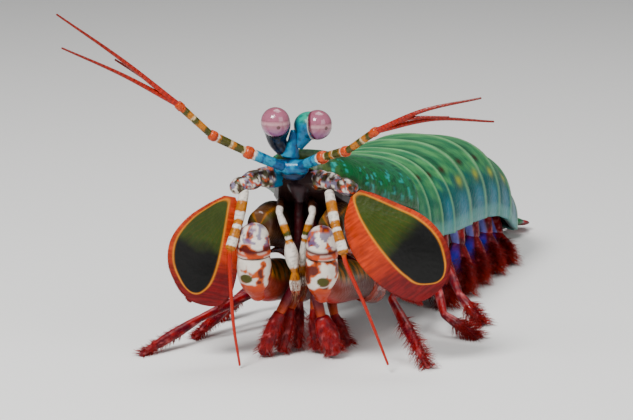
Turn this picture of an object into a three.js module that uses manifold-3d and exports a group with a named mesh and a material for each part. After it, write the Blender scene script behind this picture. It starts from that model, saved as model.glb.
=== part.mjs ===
import * as THREE from 'three';
import Module from 'manifold-3d';
import { mergeVertices } from 'three/addons/utils/BufferGeometryUtils.js';

// Peacock mantis shrimp, life size, in millimetres, +Z up.
// The pose frame has X to the viewer's right, Y away from the viewer and the floor at Z = 0.
// The head centre stands over the pose origin; the body trails back and to the right.
// Names with _l are on the animal's own left, which is the viewer's right.

const wasm = await Module();
wasm.setup();
const { Manifold } = wasm;

// Driving sizes of the whole animal
const JOINT_GAP = 0.3;
const SMALLEST_DETAIL = 0.06;
const WELD = 0.002;
// A held-off skin grows this much in height for one gap above and one below
const SKIN_STRETCH = 3;
const SHORT_ROW = 8;
const FLOOR_LEVEL = 0;

// Body rows from the head back: length, yaw to the right, slope down to the rear,
// half width and height at the rear end of the row
const CARAPACE_START = { hw: 8.6, ht: 9.5 };
const BODY_ROWS = [
  { name: 'carapace_front', length: 12, yaw: 19, slope: 18, hw: 12.2, ht: 13.0 },
  { name: 'carapace_rear', length: 23, yaw: 20, slope: 13, hw: 15.5, ht: 16.5 },
  { name: 'thorax_6', length: 7, yaw: 20, slope: 7, hw: 16.2, ht: 17.2 },
  { name: 'thorax_7', length: 6.5, yaw: 20, slope: 4, hw: 16.8, ht: 17.8 },
  { name: 'thorax_8', length: 6.5, yaw: 20, slope: 2, hw: 17.3, ht: 18.2 },
  { name: 'abdomen_1', length: 13.5, yaw: 19, slope: 1, hw: 17.6, ht: 18.5 },
  { name: 'abdomen_2', length: 13.5, yaw: 19, slope: 4, hw: 17.8, ht: 18.5 },
  { name: 'abdomen_3', length: 13.5, yaw: 20, slope: 11, hw: 17.8, ht: 18.2 },
  { name: 'abdomen_4', length: 13.5, yaw: 18, slope: 24, hw: 17.5, ht: 17.4 },
  { name: 'abdomen_5', length: 13.5, yaw: 12, slope: 38, hw: 16.6, ht: 15.2 },
  { name: 'abdomen_6', length: 10, yaw: 7, slope: 44, hw: 14.6, ht: 9.0 },
];
const BODY_START = [1, 5, 45.5];

// Colours
const GREEN = 0x3f8f5c;
const PALE_GREEN = 0x7dba8c;
const TEAL = 0x1f7f78;
const BLUE = 0x1f8fc4;
const NAVY = 0x141b3c;
const LILAC = 0xc98fa8;
const WHITE = 0xe9e4da;
const ORANGE = 0xd9561c;
const RUST = 0xc8601c;
const RED = 0xb0182a;
const CRIMSON = 0x8e1238;
const OLIVE = 0x35441a;
const BROWN = 0x3a2018;

// Vector helpers
const V = (x, y, z) => new THREE.Vector3(x, y, z);
const floorDown = new THREE.Vector3(0, 0, -1);
const rad = (degrees) => degrees * Math.PI / 180;
const along = (from, to, t) => from.clone().lerp(to, t);
const mix = (a, b, t) => a + (b - a) * t;
const step = (t) => t * t * (3 - 2 * t);

// Seeded draws, so every repeat differs and every build is the same
function makeDraw(seed) {
  let state = seed;
  return () => {
    state = (state * 1664525 + 1013904223) % 4294967296;
    return state / 4294967296;
  };
}

// Closed meshes from vertex and face lists, turned outward by their signed volume
function meshFrom(points, faces) {
  const geometry = new THREE.BufferGeometry();
  const flat = new Float32Array(points.length * 3);
  points.forEach((p, i) => flat.set([p.x, p.y, p.z], i * 3));
  let volume = 0;
  for (const [a, b, c] of faces) {
    volume += points[a].dot(points[b].clone().cross(points[c])) / 6;
  }
  const turned = volume < 0 ? faces.map(([a, b, c]) => [a, c, b]) : faces;
  geometry.setAttribute('position', new THREE.BufferAttribute(flat, 3));
  geometry.setIndex(turned.flat());
  return geometry;
}

// A skin over a row of closed rings, shut at both ends by a fan to a point
function loft(rings, startPoint, endPoint) {
  const count = rings[0].length;
  const points = rings.flat();
  const faces = [];
  for (let r = 0; r < rings.length - 1; r += 1) {
    for (let i = 0; i < count; i += 1) {
      const j = (i + 1) % count;
      const a = r * count + i;
      const b = r * count + j;
      const c = (r + 1) * count + j;
      const d = (r + 1) * count + i;
      faces.push([a, b, c], [a, c, d]);
    }
  }
  const middleOf = (ring) => ring.reduce((sum, p) => sum.add(p), V(0, 0, 0)).divideScalar(ring.length);
  const first = points.length;
  points.push(startPoint ?? middleOf(rings[0]));
  points.push(endPoint ?? middleOf(rings[rings.length - 1]));
  const last = (rings.length - 1) * count;
  for (let i = 0; i < count; i += 1) {
    const j = (i + 1) % count;
    faces.push([first, j, i], [first + 1, last + i, last + j]);
  }
  return meshFrom(points, faces);
}

// One limb segment: a bulging tube between two joints with domed ends.
// Radii are [across, deep] pairs; `side` is the direction of the first of the pair.
// A dome has one ring, part of the way out and part of the full width.
const DOME_STEP = 0.75;
const DOME_WIDTH = 0.62;
function segment(path, radii, side, { sides = 5, dome = 0.6 } = {}) {
  const rings = [];
  const last = path.length - 1;
  const tangentAt = (i) => {
    const next = path[Math.min(i + 1, last)].clone();
    return next.sub(path[Math.max(i - 1, 0)]).normalize();
  };
  const ringAt = (centre, tangent, [ra, rb]) => {
    const a = side.clone().addScaledVector(tangent, -side.dot(tangent)).normalize();
    const b = tangent.clone().cross(a);
    const ring = [];
    for (let k = 0; k < sides; k += 1) {
      const angle = 2 * Math.PI * (k + 0.5) / sides;
      ring.push(centre.clone()
        .addScaledVector(a, ra * Math.cos(angle))
        .addScaledVector(b, rb * Math.sin(angle)));
    }
    return ring;
  };
  const pair = (r) => (Array.isArray(r) ? r : [r, r]);
  const startT = tangentAt(0);
  const endT = tangentAt(last);
  const [sa, sb] = pair(radii[0]);
  const [ea, eb] = pair(radii[last]);
  const startDome = dome * Math.min(sa, sb);
  const endDome = dome * Math.min(ea, eb);
  const domeRing = (centre, tangent, reach, [ra, rb]) => ringAt(
    centre.clone().addScaledVector(tangent, reach * DOME_STEP), tangent, [ra * DOME_WIDTH, rb * DOME_WIDTH],
  );
  rings.push(domeRing(path[0], startT, -startDome, [sa, sb]));
  path.forEach((p, i) => rings.push(ringAt(p, tangentAt(i), pair(radii[i]))));
  rings.push(domeRing(path[last], endT, endDome, [ea, eb]));
  return loft(
    rings,
    path[0].clone().addScaledVector(startT, -startDome),
    path[last].clone().addScaledVector(endT, endDome),
  );
}

// A straight segment that swells in the middle
function bulge(from, to, r0, r1, r2, side, options) {
  return segment([from, along(from, to, 0.25), along(from, to, 0.65), to],
    [r0, blend(r0, r1, 0.85), r1, r2], side, options);
}

function blend(a, b, t) {
  const pa = Array.isArray(a) ? a : [a, a];
  const pb = Array.isArray(b) ? b : [b, b];
  return [mix(pa[0], pb[0], t), mix(pa[1], pb[1], t)];
}

// A smooth run of points through a few named ones
function runThrough(points, count) {
  return new THREE.CatmullRomCurve3(points, false, 'centripetal').getPoints(count - 1);
}

// A long taper along a curved run, used for flagella
function whip(points, count, r0, r1, sides = 4) {
  const path = runThrough(points, count);
  const radii = path.map((p, i) => mix(r0, r1, i / (count - 1)));
  const heading = points[points.length - 1].clone().sub(points[0]).normalize();
  const side = Math.abs(heading.z) > 0.8 ? V(1, 0, 0) : V(0, 0, 1);
  return segment(path, radii, side, { sides, dome: 0.5 });
}

// A tapered bristle whose root is sunk into the skin it grows from
function bristle(root, direction, length, radius) {
  const heading = direction.clone().normalize();
  const side = Math.abs(heading.z) > 0.8 ? V(1, 0, 0) : V(0, 0, 1);
  const a = side.clone().addScaledVector(heading, -side.dot(heading)).normalize();
  const b = heading.clone().cross(a);
  const foot = root.clone().addScaledVector(heading, -radius * 1.6);
  const ring = [0, 1, 2].map((k) => {
    const angle = 2 * Math.PI * k / 3;
    return foot.clone()
      .addScaledVector(a, radius * Math.cos(angle))
      .addScaledVector(b, radius * Math.sin(angle));
  });
  const tip = root.clone().addScaledVector(heading, length);
  return meshFrom([...ring, tip], [[0, 2, 1], [0, 1, 3], [1, 2, 3], [2, 0, 3]]);
}

// Booleans: one union per node, of which the largest closed surface is kept
function toManifold(geometry, weld = 1e-4) {
  const bare = geometry.clone();
  bare.deleteAttribute('normal');
  bare.deleteAttribute('uv');
  const merged = mergeVertices(bare, weld);
  return new Manifold(new wasm.Mesh({
    numProp: 3,
    vertProperties: new Float32Array(merged.attributes.position.array),
    triVerts: new Uint32Array(merged.index.array),
  }));
}

function toGeometry(body) {
  const mesh = body.getMesh();
  const geometry = new THREE.BufferGeometry();
  const count = mesh.vertProperties.length / mesh.numProp;
  const flat = new Float32Array(count * 3);
  for (let i = 0; i < count; i += 1) {
    for (let k = 0; k < 3; k += 1) {
      flat[i * 3 + k] = mesh.vertProperties[i * mesh.numProp + k];
    }
  }
  geometry.setAttribute('position', new THREE.BufferAttribute(flat, 3));
  geometry.setIndex(Array.from(mesh.triVerts));
  return geometry;
}

function largest(body) {
  const pieces = body.decompose();
  return pieces.reduce((best, piece) => (piece.volume() > best.volume() ? piece : best), pieces[0]);
}

// Short edges are welded away first, so that no sliver is left hanging by a point
function cleaned(body) {
  const kept = largest(body.simplify(SMALLEST_DETAIL));
  return toGeometry(largest(toManifold(toGeometry(kept), WELD)));
}

const unite = (geometries) => Manifold.union(geometries.map((geometry) => toManifold(geometry)));

// Body stations: a dorsal point and a frame at every boundary between rows
function frameAt(yaw, slope) {
  const y = rad(yaw);
  const s = rad(slope);
  const back = V(Math.sin(y) * Math.cos(s), Math.cos(y) * Math.cos(s), -Math.sin(s));
  const right = V(Math.cos(y), -Math.sin(y), 0);
  const up = right.clone().cross(back).normalize();
  return { back, right, up };
}

const stations = [];
{
  let dorsal = V(...BODY_START);
  stations.push({ at: dorsal, ...frameAt(BODY_ROWS[0].yaw, BODY_ROWS[0].slope), ...CARAPACE_START });
  BODY_ROWS.forEach((row, i) => {
    const next = BODY_ROWS[i + 1] ?? row;
    dorsal = dorsal.clone().addScaledVector(frameAt(row.yaw, row.slope).back, row.length);
    stations.push({
      at: dorsal,
      ...frameAt((row.yaw + next.yaw) / 2, (row.slope + next.slope) / 2),
      hw: row.hw,
      ht: row.ht,
    });
  });
}

// A station part way along a row, t from 0 at its front to 1 at its rear
function between(index, t) {
  const a = stations[index];
  const b = stations[index + 1];
  const back = a.back.clone().lerp(b.back, t).normalize();
  const right = a.right.clone().lerp(b.right, t).normalize();
  return {
    at: along(a.at, b.at, t),
    back,
    right,
    up: right.clone().cross(back).normalize(),
    hw: mix(a.hw, b.hw, t),
    ht: mix(a.ht, b.ht, t),
  };
}

// A point of a station: across and below are shares of its half width and height
function spot(station, across, below, out = 0) {
  return station.at.clone()
    .addScaledVector(station.right, across * station.hw)
    .addScaledVector(station.up, -below * station.ht)
    .addScaledVector(station.back, out);
}

// Cross section of a somite: a tall arch above, free side flaps and a hollowed underside
const ARCH_POINTS = 15;
const FLAP_THICK = 0.09;
const RECESS = 0.22;
const SQUARENESS = 0.82;
const rounded = (value, power) => Math.sign(value) * Math.abs(value) ** power;
function somiteRing(station, scale, shift) {
  const ring = [];
  const put = (x, y) => ring.push(station.at.clone()
    .addScaledVector(station.right, x * station.hw)
    .addScaledVector(station.up, (y - 1) * station.ht)
    .addScaledVector(station.back, shift));
  for (let i = 0; i < ARCH_POINTS; i += 1) {
    const angle = Math.PI * i / (ARCH_POINTS - 1);
    const c = Math.cos(angle);
    const s = Math.sin(angle);
    put(rounded(c, SQUARENESS) * scale, s ** SQUARENESS - (1 - scale) * s);
  }
  put(-(1 - FLAP_THICK) * scale, 0.02);
  put(-0.8 * scale, RECESS * 0.8);
  put(-0.45 * scale, RECESS);
  put(0, RECESS * 0.9);
  put(0.45 * scale, RECESS);
  put(0.8 * scale, RECESS * 0.8);
  put((1 - FLAP_THICK) * scale, 0.02);
  return ring;
}

// Rings of a tergite: tucked in at the front, full behind, with a raised rear lip
const TERGITE_PROFILE = [
  [0.0, 0.945], [0.1, 0.965], [0.3, 0.985], [0.7, 0.995], [0.9, 1.012], [1.0, 0.992],
];
const SHORT_PROFILE = [[0.0, 0.95], [0.35, 0.985], [0.8, 1.008], [1.0, 0.992]];
function somite(index, grow = 0) {
  const profile = BODY_ROWS[index].length < SHORT_ROW ? SHORT_PROFILE : TERGITE_PROFILE;
  const rings = profile.map(([t, scale], k) => {
    let shift = 0;
    if (k === 0) shift = JOINT_GAP / 2 - grow;
    if (k === profile.length - 1) shift = -JOINT_GAP / 2 + grow;
    const station = between(index, t);
    station.hw += grow;
    station.ht += grow * SKIN_STRETCH;
    station.at.addScaledVector(station.up, grow);
    return somiteRing(station, scale, shift);
  });
  return loft(rings, spot(between(index, 0), 0, 0.5, JOINT_GAP / 2 - grow),
    spot(between(index, 1), 0, 0.5, -JOINT_GAP / 2 + grow));
}

// Assembly
const animal = new THREE.Group();
animal.name = 'mantis_shrimp';

function material(colour, roughness = 0.45) {
  return new THREE.MeshStandardMaterial({ color: colour, roughness, metalness: 0 });
}

function regionGroup(name) {
  const group = new THREE.Group();
  group.name = name;
  animal.add(group);
  return group;
}

const headGroup = regionGroup('head_region');
const mouthGroup = regionGroup('mouth_region');
const thoraxGroup = regionGroup('thorax_region');
const abdomenGroup = regionGroup('abdomen_region');
const tailGroup = regionGroup('tail_region');

// Adds a node whose geometry is held about its own anchor
function addNode(group, name, shape, anchor, colour, roughness) {
  const geometry = shape instanceof THREE.BufferGeometry ? shape.clone() : cleaned(shape);
  geometry.translate(-anchor.x, -anchor.y, -anchor.z);
  geometry.computeVertexNormals();
  const mesh = new THREE.Mesh(geometry, material(colour, roughness));
  mesh.name = name;
  mesh.position.copy(anchor);
  group.add(mesh);
  return mesh;
}

// Thorax and abdomen somites
const FIRST_THORAX = 2;
const FIRST_ABDOMEN = 5;
for (let i = FIRST_THORAX; i < BODY_ROWS.length; i += 1) {
  const group = i < FIRST_ABDOMEN ? thoraxGroup : abdomenGroup;
  addNode(group, BODY_ROWS[i].name, somite(i), stations[i].at, i < FIRST_ABDOMEN ? PALE_GREEN : GREEN);
}

// Carapace: a shield with rounded front corners, its free side margins low on the flanks
const CARAPACE_DEPTH = 0.66;
const CARAPACE_FRONT_SHARE = 0.34;
const CARAPACE_LENGTH = BODY_ROWS[0].length + BODY_ROWS[1].length;
function carapaceRing(station, scale, shift) {
  const ring = [];
  const put = (x, y) => ring.push(station.at.clone()
    .addScaledVector(station.right, x * station.hw)
    .addScaledVector(station.up, (y - 1) * station.ht)
    .addScaledVector(station.back, shift));
  const low = 1 - CARAPACE_DEPTH;
  for (let i = 0; i < ARCH_POINTS; i += 1) {
    const angle = Math.PI * i / (ARCH_POINTS - 1);
    const c = Math.cos(angle);
    const s = Math.sin(angle);
    put(rounded(c, SQUARENESS) * scale, mix(low, 1, s ** SQUARENESS) - (1 - scale) * s);
  }
  [-0.6, -0.2, 0.2, 0.6].forEach((x) => put(x * scale, low + 0.04));
  return ring;
}

function carapaceStation(t) {
  if (t < CARAPACE_FRONT_SHARE) return between(0, t / CARAPACE_FRONT_SHARE);
  return between(1, (t - CARAPACE_FRONT_SHARE) / (1 - CARAPACE_FRONT_SHARE));
}

const CARAPACE_PROFILE = [
  [0.0, 0.5], [0.02, 0.72], [0.08, 0.88], [0.2, 0.95], [0.34, 0.97], [0.45, 0.95],
  [0.6, 0.98], [0.8, 1.0], [0.95, 1.015], [1.0, 0.995],
];
function carapace(grow = 0) {
  const rings = CARAPACE_PROFILE.map(([t, scale], k) => {
    const shift = k === CARAPACE_PROFILE.length - 1 ? -JOINT_GAP / 2 + grow : -grow;
    const station = carapaceStation(t);
    station.hw += grow / scale;
    station.ht += grow * SKIN_STRETCH / scale;
    station.at.addScaledVector(station.up, grow);
    return carapaceRing(station, scale, shift);
  });
  return loft(rings, spot(carapaceStation(0), 0, 0.45, -0.2 - grow),
    spot(carapaceStation(1), 0, 0.45, -JOINT_GAP / 2 + grow));
}
addNode(headGroup, 'carapace', carapace(), stations[0].at, GREEN);

// Trunk below the carapace, which carries the mouth parts and claws
const TRUNK_PROFILE = [
  [-0.02, 0.5, 0.62, 0.9], [0.06, 0.62, 0.66, 1.0], [0.2, 0.72, 0.66, 1.02],
  [0.45, 0.74, 0.66, 1.0], [0.7, 0.76, 0.66, 0.98], [1.0, 0.78, 0.66, 0.95],
];
const TRUNK_SQUARENESS = 0.7;
function trunkRing(station, halfWidth, top, bottom, shift) {
  const ring = [];
  const count = 14;
  for (let i = 0; i < count; i += 1) {
    const angle = 2 * Math.PI * (i + 0.5) / count;
    const x = rounded(Math.cos(angle), TRUNK_SQUARENESS) * halfWidth;
    const lift = (rounded(Math.sin(angle), TRUNK_SQUARENESS) + 1) / 2;
    const below = mix(bottom, top, lift);
    ring.push(station.at.clone()
      .addScaledVector(station.right, x * station.hw)
      .addScaledVector(station.up, -below * station.ht - JOINT_GAP)
      .addScaledVector(station.back, shift));
  }
  return ring;
}
function trunk(grow = 0) {
  const rings = TRUNK_PROFILE.map(([t, halfWidth, top, bottom], k) => {
    const shift = k === TRUNK_PROFILE.length - 1 ? -JOINT_GAP / 2 + grow : -grow;
    const station = carapaceStation(Math.max(t, 0));
    const share = grow / station.ht;
    return trunkRing(station, halfWidth + grow / station.hw, top - share, bottom + share,
      shift + Math.min(t, 0) * CARAPACE_LENGTH);
  });
  return loft(rings);
}
addNode(headGroup, 'head_underside', trunk(), stations[1].at, BROWN);

// Everything that grows from the trunk is cut back to a skin held one joint gap off it
const trunkSkin = Manifold.union([
  toManifold(carapace(JOINT_GAP * 1.3)),
  toManifold(trunk(JOINT_GAP)),
  ...BODY_ROWS.slice(FIRST_THORAX).map((row, i) => toManifold(somite(i + FIRST_THORAX, JOINT_GAP))),
]);
const floorUp = [0, 0, 1];
const offTrunk = (shape) => shape.subtract(trunkSkin);
const onFloor = (shape) => shape.trimByPlane(floorUp, FLOOR_LEVEL);
// Keeps what lies ahead of a plane through a point
const ahead = (shape, point, direction) => shape.trimByPlane(direction.toArray(), point.dot(direction));
const thicker = (radii, extra) => radii.map(([a, b]) => [a + extra, b + extra]);

// A row of bristles down one stretch of a limb, leaning toward its tip
function bristleRow(from, to, lean, { count, length, radius, spread, draw }) {
  const list = [];
  const run = to.clone().sub(from).normalize();
  const across = run.clone().cross(lean).normalize();
  for (let k = 0; k < count; k += 1) {
    const t = (k + 0.3 + 0.4 * draw()) / count;
    const angle = (draw() - 0.5) * 2 * spread;
    const aim = lean.clone().multiplyScalar(Math.cos(angle)).addScaledVector(across, Math.sin(angle))
      .addScaledVector(run, 0.5 + 0.3 * draw()).normalize();
    const root = along(from, to, t);
    const reach = length * (0.8 + 0.4 * draw());
    const room = aim.z < 0 ? (root.z - FLOOR_LEVEL) / -aim.z : reach;
    if (room > radius * 3) list.push(bristle(root, aim, Math.min(reach, room), radius));
  }
  return list;
}

// Head: the somites that carry the antennules and the eyes
const SIDE_X = V(1, 0, 0);
const SIDE_Y = V(0, 1, 0);
const ANTENNULAR_TOP = 42.8;
const antennularPath = [V(-4.0, 0.9, 41), V(-1.4, 0.2, 41.3), V(1.6, -0.5, 41.2)];
const antennularRadii = [[1.5, 1.6], [1.8, 1.8], [1.5, 1.6]];
const antennularShape = (extra) => Manifold.union([
  toManifold(segment(antennularPath, thicker(antennularRadii, extra), SIDE_Y)),
  toManifold(segment([V(-1, 0.5, 39.9), V(1, 8, 39.0)], thicker([[2.6, 1.8], [3, 2.2]], extra), SIDE_X)),
]);
addNode(headGroup, 'antennular_somite',
  offTrunk(antennularShape(0)).subtract(toManifold(carapace(JOINT_GAP * 2)))
    .trimByPlane([0, 0, -1], -ANTENNULAR_TOP), antennularPath[1], BLUE, 0.35);

const eyeBasePath = [V(-1.6, 2.0, 42.4), V(-1.0, 1.5, 45.4), V(-0.8, 1.1, 48.3)];
const eyeBaseRadii = [[2.3, 1.7], [1.25, 1.2], [0.6, 0.6]];
const eyeBaseShape = (extra) => toManifold(segment(eyeBasePath, thicker(eyeBaseRadii, extra), SIDE_X));
addNode(headGroup, 'ophthalmic_somite',
  offTrunk(eyeBaseShape(0)).trimByPlane(floorUp, ANTENNULAR_TOP + JOINT_GAP), eyeBasePath[1], BLUE, 0.35);

// Eyes: a globe cut from its stalk by a plane across the optic axis
const CORNEA_RADIUS = 3.0;
const CORNEA_CUT = 0.35;
const CORNEA_STRETCH = 1.03;
const STALK_RADII = [[1.3, 1.4], [1.9, 2.0], [2.8, 2.85], [2.85, 2.85]];
const STALK_SIDES = 12;
const EYES = {
  r: {
    centre: V(-4.4, 0, 50.4),
    axis: V(-0.1, -0.8, 0.55).normalize(),
    path: [V(-2.6, 2.0, 43.9), V(-4.0, 2.3, 46.2)],
  },
  l: {
    centre: V(4.2, 2, 49.5),
    axis: V(0.93, -0.3, 0.2).normalize(),
    path: [V(-0.2, 2.2, 45.0), V(1.2, 2.6, 47.2)],
  },
};
const eyeKeepOut = Manifold.union([eyeBaseShape(JOINT_GAP), antennularShape(JOINT_GAP)]);
for (const [side, eye] of Object.entries(EYES)) {
  const cut = eye.centre.clone().addScaledVector(eye.axis, -CORNEA_CUT * CORNEA_RADIUS);
  const fromCut = (distance) => cut.clone().addScaledVector(eye.axis, distance);
  const globe = Manifold.sphere(1, 24)
    .scale([CORNEA_RADIUS, CORNEA_RADIUS, CORNEA_RADIUS * CORNEA_STRETCH])
    .translate(eye.centre.toArray());
  addNode(headGroup, `cornea_${side}`, ahead(globe, fromCut(JOINT_GAP / 2), eye.axis), eye.centre, LILAC, 0.15);
  const stalkPath = [...eye.path, fromCut(-1.3), fromCut(0.6)];
  const stalk = toManifold(segment(stalkPath, STALK_RADII, SIDE_Y, { sides: STALK_SIDES }));
  const back = eye.axis.clone().negate();
  addNode(headGroup, `eyestalk_${side}`,
    offTrunk(ahead(stalk, fromCut(-JOINT_GAP / 2), back)).subtract(eyeKeepOut),
    eye.path[1], side === 'l' ? TEAL : NAVY, 0.3);
}

// Antennules: three peduncle lengths and three flagella each
const ANTENNULES = {
  r: {
    joints: [V(-3.0, -0.6, 41.3), V(-10.2, -3, 44.8), V(-17.3, -6, 48.8), V(-23.8, -8, 55.3)],
    whips: [
      [V(-35, -9, 64.6), V(-47.8, -9, 73.7)],
      [V(-35, -8, 61.4), V(-47, -8, 66.8)],
      [V(-30, -7.4, 60.2), V(-36.4, -7.6, 64.4)],
    ],
  },
  l: {
    joints: [V(0.8, -1.0, 41.5), V(5.5, -6, 44.3), V(10.1, -12, 46.6), V(15.8, -18, 51.7)],
    whips: [
      [V(25, -20.5, 56.2), V(36.2, -22, 58.9)],
      [V(27, -19, 54.2), V(38.9, -20, 53.9)],
      [V(22, -19.5, 54.4), V(30, -21, 55)],
    ],
  },
};
const PEDUNCLE_RADII = [[1.15, 0.95], [0.95, 0.8], [0.8, 0.7]];
const RING_SWELL = [1.25, 1.2];
for (const [side, data] of Object.entries(ANTENNULES)) {
  const pieces = [];
  for (let k = 0; k < 3; k += 1) {
    const [mid, end] = PEDUNCLE_RADII[k];
    const to = data.joints[k + 1];
    pieces.push(bulge(data.joints[k], along(data.joints[k], to, 0.95), end, mid * 0.92, mid, SIDE_Y));
    pieces.push(segment([along(data.joints[k], to, 0.9), to], RING_SWELL.map((swell) => mid * swell), SIDE_Y));
  }
  const fork = data.joints[3];
  data.whips.forEach((run) => pieces.push(whip([fork, ...run], 6, 0.6, 0.3)));
  addNode(headGroup, `antennule_${side}`, offTrunk(unite(pieces)).subtract(eyeKeepOut),
    data.joints[0], side === 'l' ? ORANGE : RUST, 0.35);
}

// Antennae: lumpy base joints, a hanging peduncle and a thin flagellum to the floor
const ANTENNAE = {
  r: {
    base: [V(-3.5, 5, 38), V(-7.6, 2.2, 38.6), V(-10.6, 0.9, 37.6), V(-13.0, 0.2, 36.6)],
    hang: [V(-10.8, 0, 36), V(-12.0, -2, 30), V(-13.6, -4, 25)],
    whip: [V(-13.8, -4.6, 22), V(-13.1, -6, 10), V(-11.8, -6, 0.7)],
  },
  l: {
    base: [V(3.2, 5, 37.6), V(5.2, 1.2, 38.2), V(8.4, -1.2, 37.8), V(11.6, -2.8, 37.0)],
    hang: [V(6.6, -1.6, 36), V(7.8, -7.4, 30.5), V(9.4, -9.6, 25.4)],
    whip: [V(10.2, -9.8, 22.4), V(13.9, -9.6, 14), V(18.6, -10, 1.9)],
  },
};
const LAST_BASE_RADII = [1.6, 1.9, 1.4];
for (const [side, data] of Object.entries(ANTENNAE)) {
  const pieces = [
    bulge(data.base[0], data.base[1], [2.0, 2.4], [2.3, 2.6], 2.2, SIDE_Y),
    bulge(data.base[1], data.base[2], 1.9, 2.3, 1.9, SIDE_Y),
    bulge(data.base[2], data.base[3], ...LAST_BASE_RADII, SIDE_Y),
    bulge(data.hang[0], data.hang[1], 1.0, 1.2, 1.1, SIDE_Y),
    bulge(data.hang[1], data.hang[2], 0.95, 1.15, 1.15, SIDE_Y),
    whip([data.hang[2], ...data.whip], 8, 0.62, 0.34),
  ];
  addNode(headGroup, `antenna_${side}`,
    onFloor(offTrunk(unite(pieces)).subtract(antennularShape(JOINT_GAP))), data.base[1], WHITE, 0.35);
}

// Antennal scales: an oval vane, cambered, with a ring of fringe around its edge
const SCALES = {
  r: {
    root: V(-13.8, 0.0, 34.9),
    tip: V(-18.6, -1.6, 12.2),
    outward: V(-1, -0.3, 0),
    outer: [[0, 1.2], [0.1, 4.4], [0.25, 8.0], [0.45, 10.4], [0.65, 10.2], [0.82, 7.8], [0.93, 5.0], [1, 0.6]],
    inner: [[0, 1.2], [0.1, 2.6], [0.25, 3.6], [0.45, 4.3], [0.65, 4.8], [0.82, 4.6], [0.93, 3.4], [1, 0.6]],
  },
  l: {
    root: V(12.0, -3.5, 36.3),
    tip: V(27.8, -7.4, 15.8),
    outward: V(0.8, 0, 0.6),
    outer: [[0, 1.2], [0.1, 3.0], [0.25, 5.4], [0.45, 8.2], [0.65, 9.0], [0.82, 7.8], [0.93, 5.0], [1, 0.6]],
    inner: [[0, 1.2], [0.1, 4.8], [0.25, 7.2], [0.45, 8.2], [0.65, 7.7], [0.82, 6.0], [0.93, 4.0], [1, 0.6]],
  },
};
const SCALE_ROWS = 14;
const SCALE_COLUMNS = 7;
const SCALE_THICK = 1.0;
const SCALE_EDGE = 0.5;
const SCALE_CAMBER = 1.3;
function valueAt(table, t) {
  const last = table.length - 1;
  let k = 0;
  while (k < last - 1 && table[k + 1][0] < t) k += 1;
  const [t0, v0] = table[k];
  const [t1, v1] = table[k + 1];
  return mix(v0, v1, step(Math.min(Math.max((t - t0) / (t1 - t0), 0), 1)));
}
function vane(data, rows, columns, thick, edge, camber) {
  const run = data.tip.clone().sub(data.root);
  const length = run.length();
  const down = run.clone().normalize();
  const out = data.outward.clone().addScaledVector(down, -data.outward.dot(down)).normalize();
  const face = down.clone().cross(out).normalize();
  const points = [];
  const at = (i, j) => i * (columns + 1) + j;
  for (const sign of [1, -1]) {
    for (let i = 0; i <= rows; i += 1) {
      const t = i / rows;
      for (let j = 0; j <= columns; j += 1) {
        const s = j / columns;
        const x = mix(-valueAt(data.inner, t), valueAt(data.outer, t), s);
        const dish = 4 * s * (1 - s) * Math.sin(Math.PI * Math.min(t + 0.05, 1));
        const half = mix(edge, thick, Math.min(dish * 1.6, 1)) / 2;
        points.push(data.root.clone()
          .addScaledVector(down, t * length)
          .addScaledVector(out, x)
          .addScaledVector(face, camber * dish + sign * half));
      }
    }
  }
  const layer = (rows + 1) * (columns + 1);
  const faces = [];
  for (let i = 0; i < rows; i += 1) {
    for (let j = 0; j < columns; j += 1) {
      const quad = [at(i, j), at(i, j + 1), at(i + 1, j + 1), at(i + 1, j)];
      faces.push([quad[0], quad[1], quad[2]], [quad[0], quad[2], quad[3]]);
      const under = quad.map((q) => q + layer);
      faces.push([under[0], under[2], under[1]], [under[0], under[3], under[2]]);
    }
  }
  const rim = [];
  for (let j = 0; j < columns; j += 1) {
    rim.push(at(0, j));
  }
  for (let i = 0; i < rows; i += 1) {
    rim.push(at(i, columns));
  }
  for (let j = columns; j > 0; j -= 1) {
    rim.push(at(rows, j));
  }
  for (let i = rows; i > 0; i -= 1) {
    rim.push(at(i, 0));
  }
  rim.forEach((a, k) => {
    const b = rim[(k + 1) % rim.length];
    faces.push([a, a + layer, b + layer], [a, b + layer, b]);
  });
  return meshFrom(points, faces);
}
for (const [side, data] of Object.entries(SCALES)) {
  const shape = toManifold(vane(data, SCALE_ROWS, SCALE_COLUMNS, SCALE_THICK, SCALE_EDGE, SCALE_CAMBER));
  const joint = ANTENNAE[side].base;
  const keep = toManifold(bulge(joint[2], joint[3], ...LAST_BASE_RADII.map((r) => r + JOINT_GAP), SIDE_Y));
  addNode(headGroup, `antennal_scale_${side}`, shape.subtract(keep), data.root, OLIVE, 0.3);
}

// Upper lip over the mouth
const labrumPath = [V(0.4, 5.5, 38.6), V(0.5, 3.4, 36.6), V(0.6, 2.6, 33.4)];
const labrumRadii = [[3.0, 2.2], [2.6, 1.9], [0.9, 0.8]];
const labrumShape = offTrunk(toManifold(segment(labrumPath, labrumRadii, SIDE_X)));
addNode(headGroup, 'labrum', labrumShape.subtract(antennularShape(JOINT_GAP)), labrumPath[1], BROWN, 0.4);

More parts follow.
